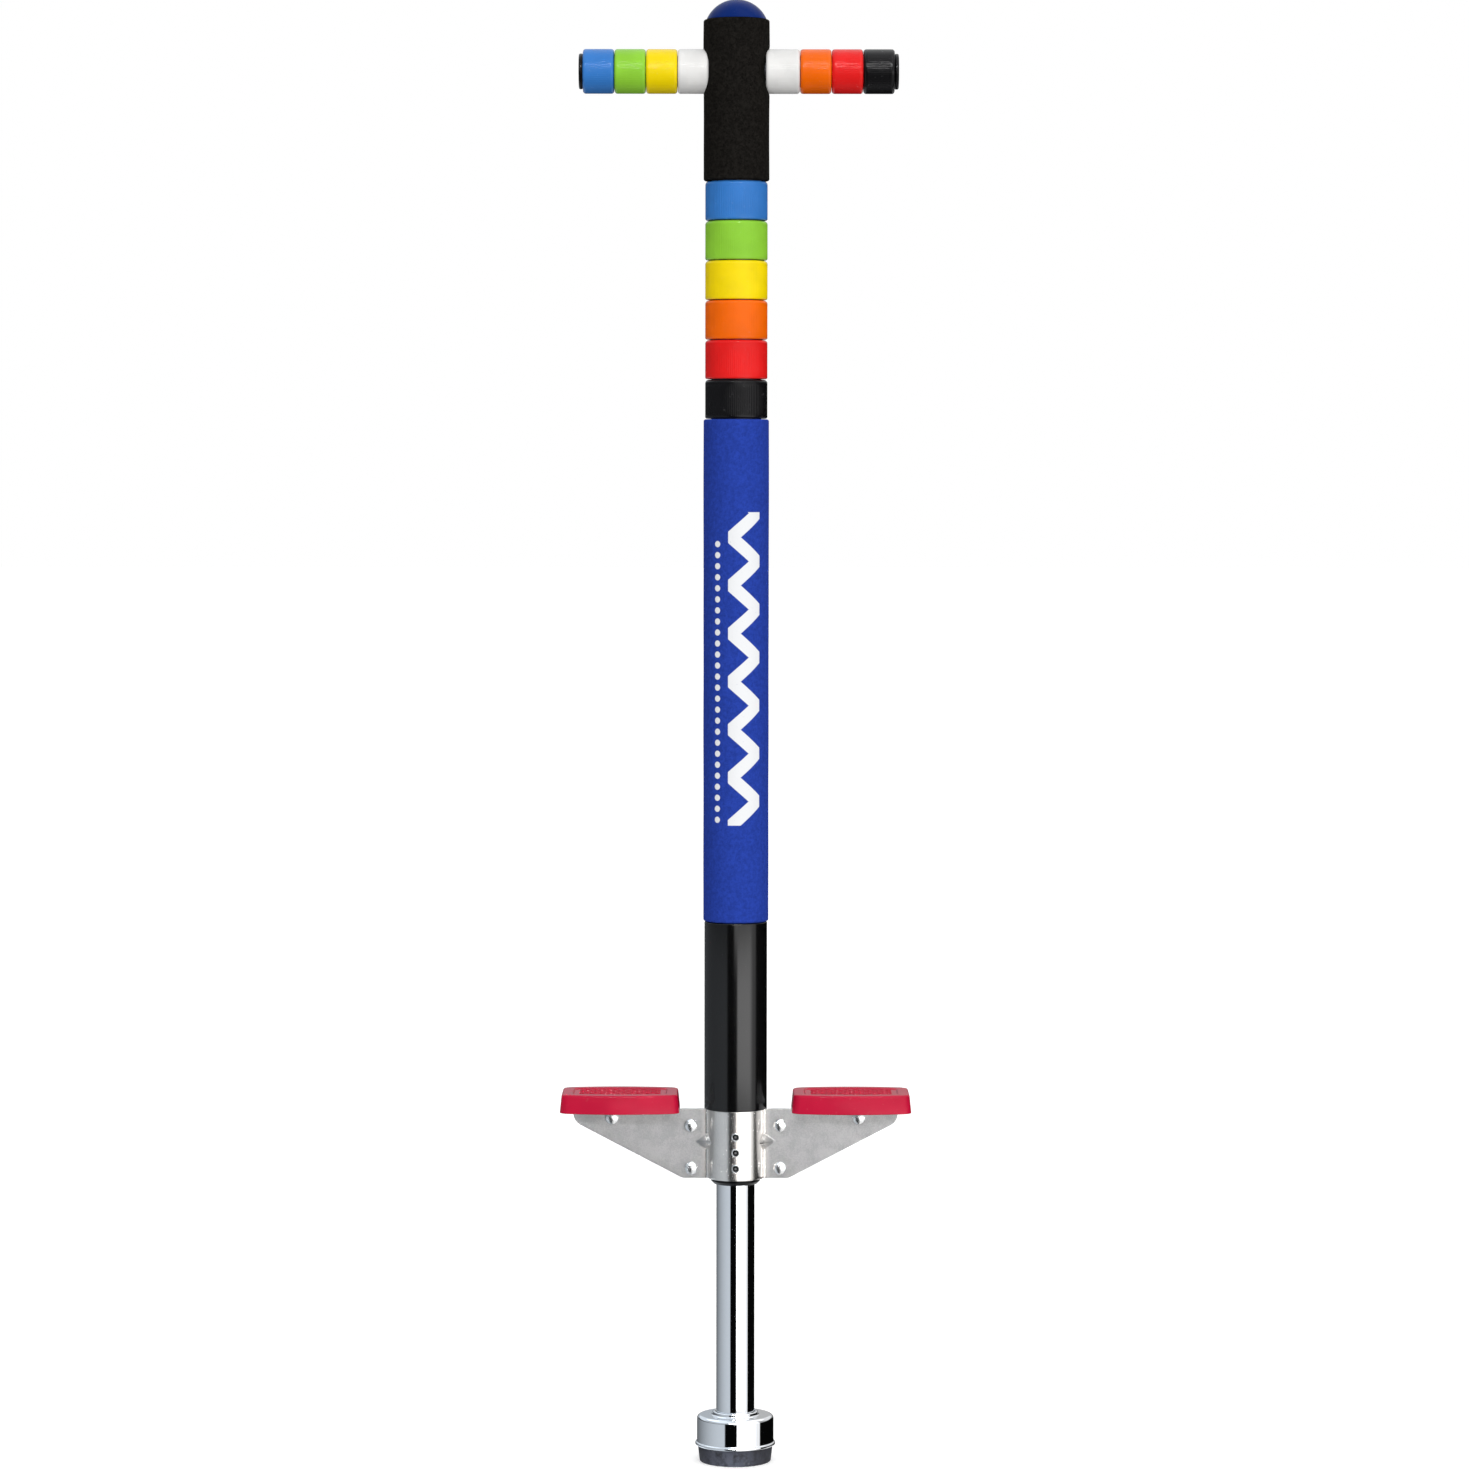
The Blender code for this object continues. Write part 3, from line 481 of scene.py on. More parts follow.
def make_rubber_with_dust_and_painted_light(name, color, dust_color, amount, top):
    """Rubber with dust rubbed into it near the floor. The dust group also paints light: a lighter band down
    the middle.
    """
    material, tree, shader = new_material(name, 0.75, Specular_IOR_Level=0.3)
    values = {"Color": (*color, 1.0), "Roughness": 0.7, "Rubs": 0.6, "Grain": 900.0}
    skin = dress(tree, shader, skins["moulded"], values, 0.00008)
    dust = add_node(tree, "Group", {"Amount": amount, "Top": top}, node_tree=skins["dust"])
    # The mixed-in dust colour also carries the painted light of the lighter middle band.
    dusty = mix_colors(tree, dust.outputs["Mask"], skin.outputs["Color"], (*dust_color, 1.0))
    tree.links.new(dusty, shader.inputs["Base Color"])
    return material


def make_blind_rivet_steel(name):
    """Bright steel with painted shade: where the piece's well mask says, the well is drawn black and not
    metal.
    """
    material, tree, shader = new_material(name, 0.2, 1.0)
    values = {"Color": (0.86, 0.87, 0.88, 1.0), "Roughness": 0.16, "Mottle": 0.2}
    skin = dress(tree, shader, skins["metal"], values, 0.00001)
    # Painted shade: the well is mixed to near-black and its metal is turned off.
    well = add_node(tree, "Attribute", attribute_name="well").outputs["Fac"]
    black = mix_colors(tree, well, skin.outputs["Color"], (0.004, 0.004, 0.005, 1.0))
    tree.links.new(black, shader.inputs["Base Color"])
    tree.links.new(maths(tree, "SUBTRACT", 1.0, well), shader.inputs["Metallic"])
    return material


skins = {
    "moulded": make_moulded_skin(),
    "metal": make_metal_skin(),
    "foam": make_foam_cells(),
    # The dust group also paints light: a lighter band down the middle with darker sides.
    "dust": make_dust_and_painted_centre_light(),
    "print": make_spring_line_print(),
}

finishes = {
    "chrome": make_metal("chrome", (0.90, 0.92, 0.95), 0.045, 0.04, 500.0, 0.5, 0.000002),
    "zinc_steel": make_zinc_plate("zinc plated steel"),
    # Painted shade: the tube is coloured dark so that the gaps between the rings show dark.
    "tube_steel": make_metal("steel tube with painted gap shade", (0.10, 0.10, 0.11), 0.42, 0.35),
    "rivet_steel": make_metal("rivet steel", (0.93, 0.93, 0.93), 0.25, 0.10, 900.0, 0.2, 0.000006),
    "spring_steel": make_metal("oiled spring steel", (0.20, 0.20, 0.21), 0.32, 0.4),
    "black_foam": make_foam("black foam", (0.0108, 0.0098, 0.0086)),
    "blue_foam": make_printed_foam("blue foam with print", (0.0215, 0.054, 0.365)),
    "black_gloss_plastic": make_plastic(
        "black gloss plastic", (0.003, 0.003, 0.0033), 0.13, 0.03, 0.000001, Specular_IOR_Level=0.48
    ),
    "black_plastic": make_plastic("black plastic", (0.0055, 0.0053, 0.0062), 0.16),
    "white_plastic": make_plastic("white plastic", (0.84, 0.835, 0.82), 0.24, 0.1),
    "yellow_plastic": make_plastic("yellow plastic", (0.99, 0.745, 0.001)),
    "green_plastic": make_plastic("green plastic", (0.29, 0.655, 0.045)),
    "blue_plastic": make_plastic("blue plastic", (0.040, 0.205, 0.60)),
    "orange_plastic": make_plastic("orange plastic", (0.97, 0.150, 0.0005)),
    "red_plastic": make_plastic("red plastic", (0.84, 0.013, 0.013)),
    "navy_plastic": make_plastic("navy plastic", (0.002, 0.020, 0.150), 0.22, Specular_IOR_Level=0.06),
    "crimson_plastic": make_plastic("crimson plastic", (0.58, 0.0045, 0.042), 0.20, Specular_IOR_Level=0.2),
    "grey_rubber": make_rubber_with_dust_and_painted_light(
        "grey rubber with dust and painted light", (0.024, 0.024, 0.029), (0.128, 0.138, 0.185), 0.85, 0.024
    ),
    "black_rubber": make_rubber_with_dust_and_painted_light("black rubber", (0.015, 0.015, 0.015), (0.05, 0.05, 0.05), 0.2, 0.3),
}


# The column


def grooves(count, depth, low, high, fade, wall):
    """A press for fine ribs: the surface sinks by depth * exp(-(phase / 0.2) ^ 2), phase being the way to
    the nearest groove in pitches. It fades out towards low and high, and leaves what lies inside the wall
    alone."""

    def press(angle, height, radius):
        phase = (angle * count / TURN + 0.5) % 1 - 0.5
        run = smooth(height, low, low + fade) * smooth(height, high, high - fade)
        return -depth * np.exp(-((phase / 0.2) ** 2)) * run * (radius > wall)

    return press


def make_column_rings():
    """Six loose rings like bottle caps: a wide rounding above, a small one below and fine upright ribs."""
    foot_edge, top_edge, margin, fade, rim = 0.0011, 0.0021, 0.0005, 0.0012, 0.0004
    for color in COLORS_UP_THE_COLUMN:
        node = f"column_ring_{color}"
        low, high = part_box(node)
        outer = high.x
        section = ring_section(SLEEVE_BORE, outer, low.z, high.z, foot_edge, top_edge, RING_ROWS)
        ribbed = (low.z + foot_edge + margin, high.z - top_edge - margin)
        press = grooves(COLUMN_RING_RIBS, COLUMN_RIB_DEPTH, *ribbed, fade, outer - rim)
        ring = turned(section, POINTS_PER_RIB * COLUMN_RING_RIBS, press)
        add_piece(node + "_ribbed", f"{color}_plastic", [ring], stands_for=[node])


def waves(seed, size, height_scale):
    """Slight unevenness of a soft skin: size times the mean of cos(k * angle + m * z + phase) over a few
    whole k, so that it closes round the back."""
    draw = np.random.default_rng(seed)
    terms = [
        (draw.integers(1, 5), draw.uniform(-1, 1) * height_scale, draw.uniform(0, TURN)) for _ in range(7)
    ]

    def at(angle, height):
        return size * sum(np.cos(k * angle + m * height + phase) for k, m, phase in terms) / len(terms)

    return at


def make_foam_sleeve():
    edge = 0.0013
    uneven = waves(4, 0.00022, 90)
    section = ring_section(SLEEVE_BORE, FOAM_RADIUS - 0.0001, FOAM_LOW, FOAM_HIGH, edge, edge, 150)
    sleeve = turned(section, 160, lambda angle, height, radius: uneven(angle, height) * (radius > FOAM_CORE))
    piece = add_piece("foam_sleeve_blue", "blue_foam", [sleeve], stands_for=["foam_sleeve"])


def make_upper_grip():
    """The black foam at the top. Its skin rises round the left handle ring, dives inside that ring's wall,
    and is pressed in by the right one. away is the distance from the handlebar's axis."""
    low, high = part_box("upper_foam_grip")
    outer, ring = high.x, HANDLE_RING_RADIUS
    edge, lip, lip_width, floor, dent = 0.0012, 0.0020, 0.0022, 0.0166, 0.0007
    uneven = waves(9, 0.00025, 110)

    def press(angle, height, radius):
        across, forward = outer * np.cos(angle), outer * np.sin(angle)
        away = np.hypot(forward, height - BAR_HEIGHT)
        beside = (np.abs(forward) / ring) ** 4
        rise = lip * beside * np.exp(-(((away - ring) / lip_width) ** 2))
        dive = (outer - floor) * smooth(away, ring - 0.0006, ring - 0.0018)
        sink = dent * smooth(away, ring + 0.0016, ring - 0.0015)
        change = uneven(angle, height) + np.where(across < 0, rise - dive, -sink)
        return change * (radius > FOAM_CORE)

    section = ring_section(SLEEVE_BORE, outer, low.z, high.z, edge, edge, 190)
    grip = turned(section, 288, press)
    piece = add_piece("grip_foam_black", "black_foam", [grip], stands_for=["upper_foam_grip"])


def make_lower_sleeve():
    low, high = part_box("lower_sleeve")
    section = ring_section(SLEEVE_BORE, high.x, low.z, high.z, 0.0004, 0.0008)
    add_piece("gloss_sleeve", "black_gloss_plastic", [turned(section, 160)], stands_for=["lower_sleeve"])


def make_dome():
    """The cap: a plug in the tube and a dome, an arc of a sphere from its base to the axis."""
    low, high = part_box("dome_cap")
    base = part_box("upper_foam_grip")[1].z + 0.0003
    plug, half, rise = 0.0135, high.x, high.z - base
    sphere = (half**2 + rise**2) / (2 * rise)
    lean = np.linspace(math.asin(half / sphere), 0, 40)
    dome = np.stack([sphere * np.sin(lean), high.z - sphere + sphere * np.cos(lean)], axis=-1)
    corners = [(0, low.z, 0), (plug, low.z, 0.0006), (plug, base, 0.0003), (half, base, 0)]
    profile = np.concatenate([rounded_path(corners, False), dome])
    add_piece("dome", "navy_plastic", [turned(profile, 128, wrap=False)], stands_for=["dome_cap"])


def make_handle_rings():
    """Eight rings on the bar. Each is rounded alike at both ends and ribbed along the bar. The white one at
    the right is a little wider, and its inner end is pushed into the foam."""
    edge, margin, fade, rim, pushed = 0.0017, 0.0003, 0.0010, 0.0004, 0.0017
    bore, outer = BAR_RADIUS + 0.0003, HANDLE_RING_RADIUS
    for side, toward, colors in (("left", 1, COLORS_FROM_LEFT_END), ("right", -1, COLORS_FROM_RIGHT_END)):
        for color in colors:
            node = f"handle_ring_{side}_{color}"
            low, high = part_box(node)
            start = low.x if toward > 0 else high.x
            width = high.x - low.x + (pushed if node == "handle_ring_right_white" else 0)
            section = ring_section(bore, outer, 0, width, edge, edge, RING_ROWS)
            depth = WHITE_RIB_DEPTH if color == "white" else HANDLE_RIB_DEPTH
            ribbed = (edge + margin, width - edge - margin)
            press = grooves(HANDLE_RING_RIBS, depth, *ribbed, fade, outer - rim)
            ring = laid_on_bar(turned(section, POINTS_PER_RIB * HANDLE_RING_RIBS, press), start, toward)
            add_piece(node + "_ribbed", f"{color}_plastic", [ring], stands_for=[node])


def make_end_caps():
    """A plug in each end of the bar, with a rounded rim and a shallow dish in its face."""
    plug, shoulder, dish = 0.0077, 0.0123, 0.0006
    for side, toward in (("left", -1), ("right", 1)):
        node = f"bar_end_cap_{side}"
        low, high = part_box(node)
        start = high.x if toward < 0 else low.x
        length, rim = high.x - low.x, high.y
        face = length - dish
        corners = [
            (0, 0, 0), (plug, 0, 0.0008), (plug, shoulder, 0.0002), (rim, shoulder, 0.0004),
            (rim, length, 0.0009), (rim - 0.0028, length, 0.0006), (rim - 0.0034, face, 0.0006), (0, face, 0),
        ]
        cap = laid_on_bar(turned(rounded_path(corners, False), 96, wrap=False), start, toward)
        add_piece(f"bar_end_plug_{side}", "black_plastic", [cap], stands_for=[node])


# The brackets and what they carry


def half_section(mid_radius, wing, tip):
    """A plate's middle line from the barrel's front to a wing's tip: an arc about the column, an arc the
    other way round the fold and a straight wing. Gives its points and how far along each lies, and the
    fold's place."""
    fold_radius = FOLD_FILLET + PLATE / 2
    fold_y = wing + fold_radius
    fold_x = math.sqrt((mid_radius + fold_radius) ** 2 - fold_y**2)
    lean = math.atan2(fold_y, fold_x)
    barrel = np.linspace(math.pi / 2, lean, 60)
    fold = np.linspace(math.pi + lean, 1.5 * math.pi, 12)[1:]
    straight = fold_x + (tip - fold_x) * np.sin(np.linspace(0, math.pi / 2, 110))[1:]
    x = np.concatenate([mid_radius * np.cos(barrel), fold_x + fold_radius * np.cos(fold), straight])
    level = wing + 0 * straight
    y = np.concatenate([mid_radius * np.sin(barrel), fold_y + fold_radius * np.sin(fold), level])
    along = np.concatenate([[0], np.cumsum(np.hypot(np.diff(x), np.diff(y)))])
    return x, y, along, along[len(barrel) + len(fold) // 2]


def wing_foot(x, tip, low, high):
    """How low the plate reaches at each x: level, then up the slope, with heel and tip rounded."""
    corners = [(0, low, 0), (WING_SLOPE_START, low, WING_HEEL_ROUNDING),
               (tip, WING_SLOPE_END_HEIGHT, WING_TIP_ROUNDING), (tip, high, 0)]
    edge = rounded_path(corners, False, 24)[:-1]
    return np.interp(np.abs(x), edge[:, 0], edge[:, 1])


def make_bracket(node, front):
    """One pressed plate. Its grid runs from wing tip to wing tip along the section and from the foot up. At
    a dart the stretch of section between the barrel and the wing is pulled straight, least at the dart's
    ends."""
    low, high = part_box(node)
    barrel_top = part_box("lower_sleeve")[0].z - 0.0003
    tip = high.x
    mid_radius = max(abs(low.y), abs(high.y)) - PLATE / 2
    wing = min(abs(low.y), abs(high.y)) + PLATE / 2
    x, y, along, fold = half_section(mid_radius, wing, tip)
    root = along[0] + mid_radius * (math.pi / 2 - DART_ROOT)
    tip_along = np.interp(DART_TIP, x[along > fold], along[along > fold])
    dart_height = low.z + DART_HEIGHT
    coarse = 0.0011 / (barrel_top - low.z)
    middle = (dart_height - low.z) / (barrel_top - low.z)
    reach = 0.15
    share = np.concatenate([
        np.arange(0, middle - reach, coarse),
        np.linspace(middle - reach, middle + reach, 41)[:-1],
        np.arange(middle + reach, 1, coarse),
        [1],
    ])[:, None]
    foot = wing_foot(x, tip, low.z, high.z)
    height = foot + (barrel_top - foot) * share
    depth = np.clip(1 - np.abs(height - dart_height) / DART_HALF, 0, 1)
    near = fold - depth * (fold - root)
    far = fold + depth * (tip_along - fold)
    part = np.clip((along - near) / np.maximum(far - near, 1e-9), 0, 1)
    inside = (along > near) & (along < far)
    near_x, far_x = np.interp(near, along, x), np.interp(far, along, x)
    near_y, far_y = np.interp(near, along, y), np.interp(far, along, y)
    right_x = np.where(inside, near_x + (far_x - near_x) * part, x)
    right_y = np.where(inside, near_y + (far_y - near_y) * part, y)
    points = np.stack([right_x, front * right_y, height], axis=-1)
    mirrored = points[:, :0:-1] * (-1, 1, 1)
    whole = np.concatenate([mirrored, points], axis=1)
    patches = [(whole, grid_quads(*whole.shape[:2], wrap_columns=False))]
    flange_start, flange_end, reach_y = 0.0377, 0.0990, 0.0170
    level = high.z - PLATE / 2
    bend = rounded_path([(wing, barrel_top - 0.001, 0), (wing, level, 0.0011), (reach_y, level, 0)], False)
    for side in (-1, 1):
        run = side * np.linspace(flange_start, flange_end, 24)[:, None]
        strip = np.stack([run + 0 * bend[:, 0], front * bend[:, 0] + 0 * run, bend[:, 1] + 0 * run], axis=-1)
        patches.append((strip, grid_quads(*strip.shape[:2], wrap_columns=False)))
    piece = add_piece(node + "_plate", "zinc_steel", patches, stands_for=[node])
    solid = piece.modifiers.new("thickness", "SOLIDIFY")
    solid.thickness = PLATE
    solid.offset = 0
    solid.use_even_offset = False
    edge = piece.modifiers.new("edge", "BEVEL")
    edge.width = 0.00025
    edge.segments = 2
    edge.limit_method = "ANGLE"
    edge.angle_limit = math.radians(60)


def make_rivets():
    """Through rivets: a dome in front, r = a cos t and z = b sin t on a foot, and a lower one behind."""
    quarter = np.linspace(0, math.pi / 2, 14)
    shank_radius = 0.0021
    for side in ("left", "right"):
        for place in ("upper", "lower", "outer"):
            node = f"rivet_{side}_{place}"
            low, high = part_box(node)
            head = (high.x - low.x) / 2
            face = PLATE + 0.00045
            foot = face + 0.0003
            front = np.stack([head * np.cos(quarter), foot + (-low.y - foot) * np.sin(quarter)], -1)
            behind = np.stack([0.9 * head * np.sin(quarter), -face - (high.y - face) * np.cos(quarter)], -1)
            shank = [(shank_radius, -face), (shank_radius, face), (head, face)]
            patch = turned(np.concatenate([behind, shank, front]), 48, wrap=False)
            middle = ((low.x + high.x) / 2, (low.z + high.z) / 2)
            add_piece(node + "_domed", "rivet_steel", [faced_front(patch, *middle)], stands_for=[node])


def make_barrel_rivets():
    """Blind rivets up the barrel: a flared rim round a well whose shade is painted, with the broken stem's
    end in it.
    """
    shank, lip, well, stem, stem_top = 0.0016, 0.0020, 0.0018, 0.0008, 0.0007
    segments = 48
    for place in ("top", "middle", "bottom"):
        node = f"barrel_rivet_{place}"
        low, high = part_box(node)
        head = (high.x - low.x) / 2
        rim = -low.y
        floor = rim - 0.0010
        corners = [
            (0, -high.y, 0), (shank, -high.y, 0), (shank, floor - 0.0003, 0),
            (head, floor - 0.0003, 0.0001), (head, rim - 0.0003, 0.0002), (head - 0.0004, rim, 0.0002),
            (lip, rim - 0.0002, 0.0002), (well, floor, 0.0001), (stem, floor, 0.0001),
            (stem_top, floor + 0.0005, 0.0002), (0, floor + 0.0005, 0),
        ]
        path = rounded_path(corners, False)
        # Painted shade: the well mask is 1 on the well's walls and floor and 0.8 on the stem's end.
        inside = (path[:, 0] < 0.00195) & (path[:, 1] > floor - 0.0001)
        inside = np.where(path[:, 0] < 0.00072, 0.8, 1.0) * inside
        masks = {"well": np.repeat(inside, segments)}
        middle = ((low.x + high.x) / 2, (low.z + high.z) / 2)
        rivet = faced_front(turned(path, segments, wrap=False), *middle)
        piece = add_piece(node + "_flared", "rivet_steel", [rivet], stands_for=[node], masks=masks)
        # The piece keeps its slot. The material shown is rivet steel with painted shade in the well.
        piece.data.materials[0] = rivet_steel_with_painted_well_shade


def make_pedals():
    """Foot pads. Each level is the base outline drawn in towards the middle, x by inset / reach and y by
    inset / half, and the outline is a rounded rectangle whose long sides bow by 1 - bow * u ^ 2."""
    bow, corner, outline_points = 0.20, 0.0050, 240
    skirt, pocket_depth, rim, panel, sink = 0.0026, 0.0021, 0.0078, 0.0088, 0.0009
    for side in ("left", "right"):
        node = f"pedal_{side}"
        low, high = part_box(node)
        middle, reach = (low.x + high.x) / 2, (high.x - low.x) / 2
        half = high.y
        corners = [(x * reach, y * half, corner) for x, y in ((1, -1), (1, 1), (-1, 1), (-1, -1))]
        outline = rounded_path(corners, True, 12)
        outline = np.concatenate([outline, outline[:1]])
        run = np.concatenate([[0], np.cumsum(np.hypot(*np.diff(outline, axis=0).T))])
        even = np.linspace(0, run[-1], outline_points + 1)[:-1]
        base_x, base_y = (np.interp(even, run, outline[:, axis]) for axis in (0, 1))
        base_y = base_y * (1 - bow * (base_x / reach) ** 2)
        bottom, top = low.z - 0.0005, high.z + 0.0003
        pocket = bottom + pocket_depth
        levels = rounded_path([
            (half, pocket, 0), (skirt, pocket, 0.0005), (skirt, bottom, 0.0004), (0, bottom, 0.0005),
            (0.0012, top, 0.0014), (rim, top, 0.0006), (panel, top - sink, 0.0005), (half, top - sink, 0),
        ], False, 7)
        inset, height = levels[:, :1], levels[:, 1:2]
        points = np.stack([
            middle + base_x * (1 - inset / reach), base_y * (1 - inset / half), height + 0 * base_x
        ], axis=-1)
        patches = [(points, grid_quads(len(levels), outline_points))]
        studs = tread_studs(middle, reach, half, top, bow)
        pad = add_piece(node + "_moulding", "crimson_plastic", patches + studs, stands_for=[node], sharp=60)
        # The pads cast no red into the plated metal beside them.
        pad.visible_glossy = False


def tread_studs(middle, reach, half, top, bow):
    """Oval studs in staggered rows on the sunk panel, each a low dome z = rise * (1 - r ^ 4) over an
    oval."""
    long_way, short_way, rise, floor = 0.0021, 0.0011, 0.0011, top - 0.0010
    pitch_x, pitch_y, border_x, border_y = 0.0058, 0.0038, 0.0125, 0.0115
    angle = np.arange(14) * (TURN / 14)
    ring = np.array([1, 1, 0.9, 0.55, 0])[:, None]
    lift = np.array([-0.3, 0.1, 0.62, 0.95, 1])[:, None] * rise
    stud = np.stack([long_way * ring * np.cos(angle), short_way * ring * np.sin(angle), lift + 0 * angle], -1)
    bed = np.stack([0 * angle, 0 * angle, 0 * angle - 0.3 * rise], -1)[None]
    stud = np.concatenate([bed, stud])
    quads = grid_quads(len(stud), len(angle))
    patches = []
    for row in range(-3, 4):
        for step in np.arange(-4, 4.5) + (0.5 if row % 2 else 0):
            x, y = step * pitch_x, row * pitch_y
            room_x, room_y = reach - border_x, (half - border_y) * (1 - bow * (x / reach) ** 2)
            if abs(x) < room_x and abs(y) < room_y:
                patches.append((stud + (middle + x, y, floor), quads))
    return patches


def make_pedal_screws():
    """Pan-head screws under the pads. The first rows are the head's face, in which a cross recess is
    sunk."""
    shank, face_rows, recess = 0.0017, 14, 0.0011
    for side in ("left", "right"):
        for place in ("front", "rear"):
            node = f"pedal_screw_{side}_{place}"
            low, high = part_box(node)
            middle_x, middle_y = (low.x + high.x) / 2, (low.y + high.y) / 2
            head = (high.x - low.x) / 2
            seat = low.z + 0.0022
            corners = [
                (0, low.z, 0), (head - 0.0006, low.z, 0.0004), (head, seat - 0.0010, 0.0006),
                (head, seat, 0.0001), (shank, seat, 0), (shank, high.z, 0), (0, high.z, 0),
            ]
            path = rounded_path(corners, False)
            inner = np.stack([np.linspace(0, head - 0.0011, face_rows), np.full(face_rows, low.z)], -1)
            points, quads = turned(np.concatenate([inner, path[1:]]), 64, wrap=False)
            across = np.minimum(np.abs(points[..., 0]), np.abs(points[..., 1]))
            spread = np.hypot(points[..., 0], points[..., 1])
            cut = smooth(across, 0.00055, 0.00035) * smooth(spread, 0.0021, 0.0017)
            points[:face_rows, :, 2] += recess * cut[:face_rows]
            points += (middle_x, middle_y, 0)
            add_piece(node + "_pan_head", "rivet_steel", [(points, quads)], stands_for=[node])


# The plunger and its foot


def make_lower_bushing():
    """The guide in the column's foot: a neck in the tube over a tapered flange below it."""
    low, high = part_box("lower_bushing")
    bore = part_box("plunger_tube")[1].x + 0.0003
    foot, neck, flange_top = 0.0134, 0.0135, low.z + 0.0037
    corners = [
        (bore, low.z, 0.0001), (foot, low.z, 0.0004), (high.x - 0.0002, low.z + 0.0018, 0.0005),
        (high.x, flange_top, 0.0002), (neck, flange_top, 0.0002), (neck, high.z, 0.0004),
        (bore, high.z, 0.0004),
    ]
    bushing = turned(rounded_path(corners), 128)
    add_piece("guide_bushing", "black_plastic", [bushing], stands_for=["lower_bushing"])


def make_plunger():
    low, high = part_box("plunger_tube")
    bore, edge = 0.0102, 0.0004
    tube = turned(ring_section(bore, high.x, low.z, high.z, edge, edge, 20), 192)
    add_piece("plunger_chromed", "chrome", [tube], body="plunger", stands_for=["plunger_tube"])


def make_foot_cup():
    """The pressed cup: a rolled lip, a straight wall, a rounded shoulder, a nearly flat top and a
    collar."""
    low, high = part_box("foot_cup")
    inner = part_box("plunger_tube")[1].x + 0.0003
    lip, wall, collar, sheet = high.x, high.x - 0.00105, 0.01425, 0.0015
    foot, shoulder = low.z, high.z - 0.0024
    corners = [
        (wall - sheet, foot, 0.0003), (lip, foot, 0.0009), (lip, foot + 0.0020, 0.0009),
        (wall, foot + 0.0021, 0.0006), (wall, shoulder, 0.0024), (collar, shoulder, 0.0011),
        (collar, high.z, 0.0008), (inner, high.z, 0.0004), (inner, shoulder - sheet, 0.0003),
        (wall - sheet, shoulder - sheet, 0.0012),
    ]
    uneven = waves(21, 0.00007, 400)
    section = rounded_path(corners, True, 10)
    cup = turned(section, 256, lambda angle, height, radius: uneven(angle, height) * (radius > 0.0150))
    add_piece("cup_chromed", "chrome", [cup], body="plunger", stands_for=["foot_cup"])


def make_rubber_tip():
    """The tapered rubber foot, with round grooves in its sole."""
    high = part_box("rubber_tip")[1]
    top_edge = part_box("foot_cup")[0].z - 0.0003
    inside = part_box("plunger_plug")[0].z - 0.0003
    bore, neck, foot, widest = 0.0164, 0.0220, 0.0222, max(high.x, 0.0233)
    groove_depth, groove_side, groove_width = 0.0012, 0.0004, 0.0020
    sole = [(0, 0, 0)]
    for radius in (0.0050, 0.0095, 0.0140):
        end = radius + groove_width
        sole += [(radius, 0, 0), (radius + groove_side, groove_depth, 0)]
        sole += [(end - groove_side, groove_depth, 0), (end, 0, 0)]
    corners = [
        *sole, (foot, 0, 0.0007), (widest, top_edge, 0.0003), (neck, top_edge, 0.0002),
        (neck, high.z, 0.0006), (bore, high.z, 0.0003), (bore, inside, 0.0003), (0, inside, 0),
    ]
    uneven = waves(33, 0.00012, 500)
    path = rounded_path(corners, False)
    tip = turned(path, 160, lambda angle, height, radius: uneven(angle, height) * (radius > 0.0221))
    add_piece("foot_rubber", "grey_rubber", [tip], body="plunger", stands_for=["rubber_tip"])


def make_spring():
    """The coil inside the column. Its middle line climbs a closed turn, the open turns and a closed turn,
    and each point of the wire is middle + wire * (cos t * outward + sin t * up)."""
    low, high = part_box("main_spring")
    wire = 0.0016
    mean = high.x - wire
    per_turn = 40
    turns = SPRING_ACTIVE_TURNS + 2
    turn = np.arange(turns * per_turn + 1) / per_turn
    opened = np.clip(turn - 1, 0, SPRING_ACTIVE_TURNS)
    closed_pitch = 2 * wire + 0.0003
    span = high.z - low.z - 2 * wire - 2 * closed_pitch
    climb = low.z + wire + (turn - opened) * closed_pitch + opened / SPRING_ACTIVE_TURNS * span
    thick = np.concatenate([[0], np.full(len(turn), wire), [0]])[:, None]
    ends = np.concatenate([[0], np.arange(len(turn)), [len(turn) - 1]])
    angle, climb = (turn * TURN)[ends][:, None], climb[ends][:, None]
    round_wire = np.arange(12) * (TURN / 12)
    out = mean + thick * np.cos(round_wire)
    points = np.stack([out * np.cos(angle), out * np.sin(angle), climb + thick * np.sin(round_wire)], axis=-1)
    piece = add_piece("coil_spring", "spring_steel", [(points, grid_quads(len(ends), 12))],
                      stands_for=["main_spring"])
    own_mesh(piece)


def dress_frame_nodes():
    """Finishes for the frame's own nodes that stay as they are, inside the column, bar and foot."""
    plain = {
        "outer_tube": "tube_steel", "handlebar_tube": "tube_steel", "plunger_plug": "tube_steel",
        "handlebar_screw": "rivet_steel", "spring_stop_pin": "rivet_steel", "rebound_bumper": "black_rubber",
        "upper_spring_seat": "black_plastic", "piston_guide": "black_plastic",
    }
    for node, finish in plain.items():
        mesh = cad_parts[node].data
        mesh.materials.clear()
        mesh.materials.append(finishes[finish])


# Studio


def make_camera():
    camera = bpy.data.objects.new("camera", bpy.data.cameras.new("camera"))
    bpy.context.scene.collection.objects.link(camera)
    camera.data.lens = CAMERA_LENS
    camera.data.sensor_width = 36.0
    camera.data.clip_start = 0.05
    camera.data.clip_end = 50.0
    camera.location = CAMERA_PLACE
    aim = np.subtract(CAMERA_AIM, CAMERA_PLACE)
    tilt = math.atan2(aim[2], aim[1])
    camera.rotation_euler = (math.pi / 2 + tilt, CAMERA_ROLL, 0)
    bpy.context.scene.camera = camera


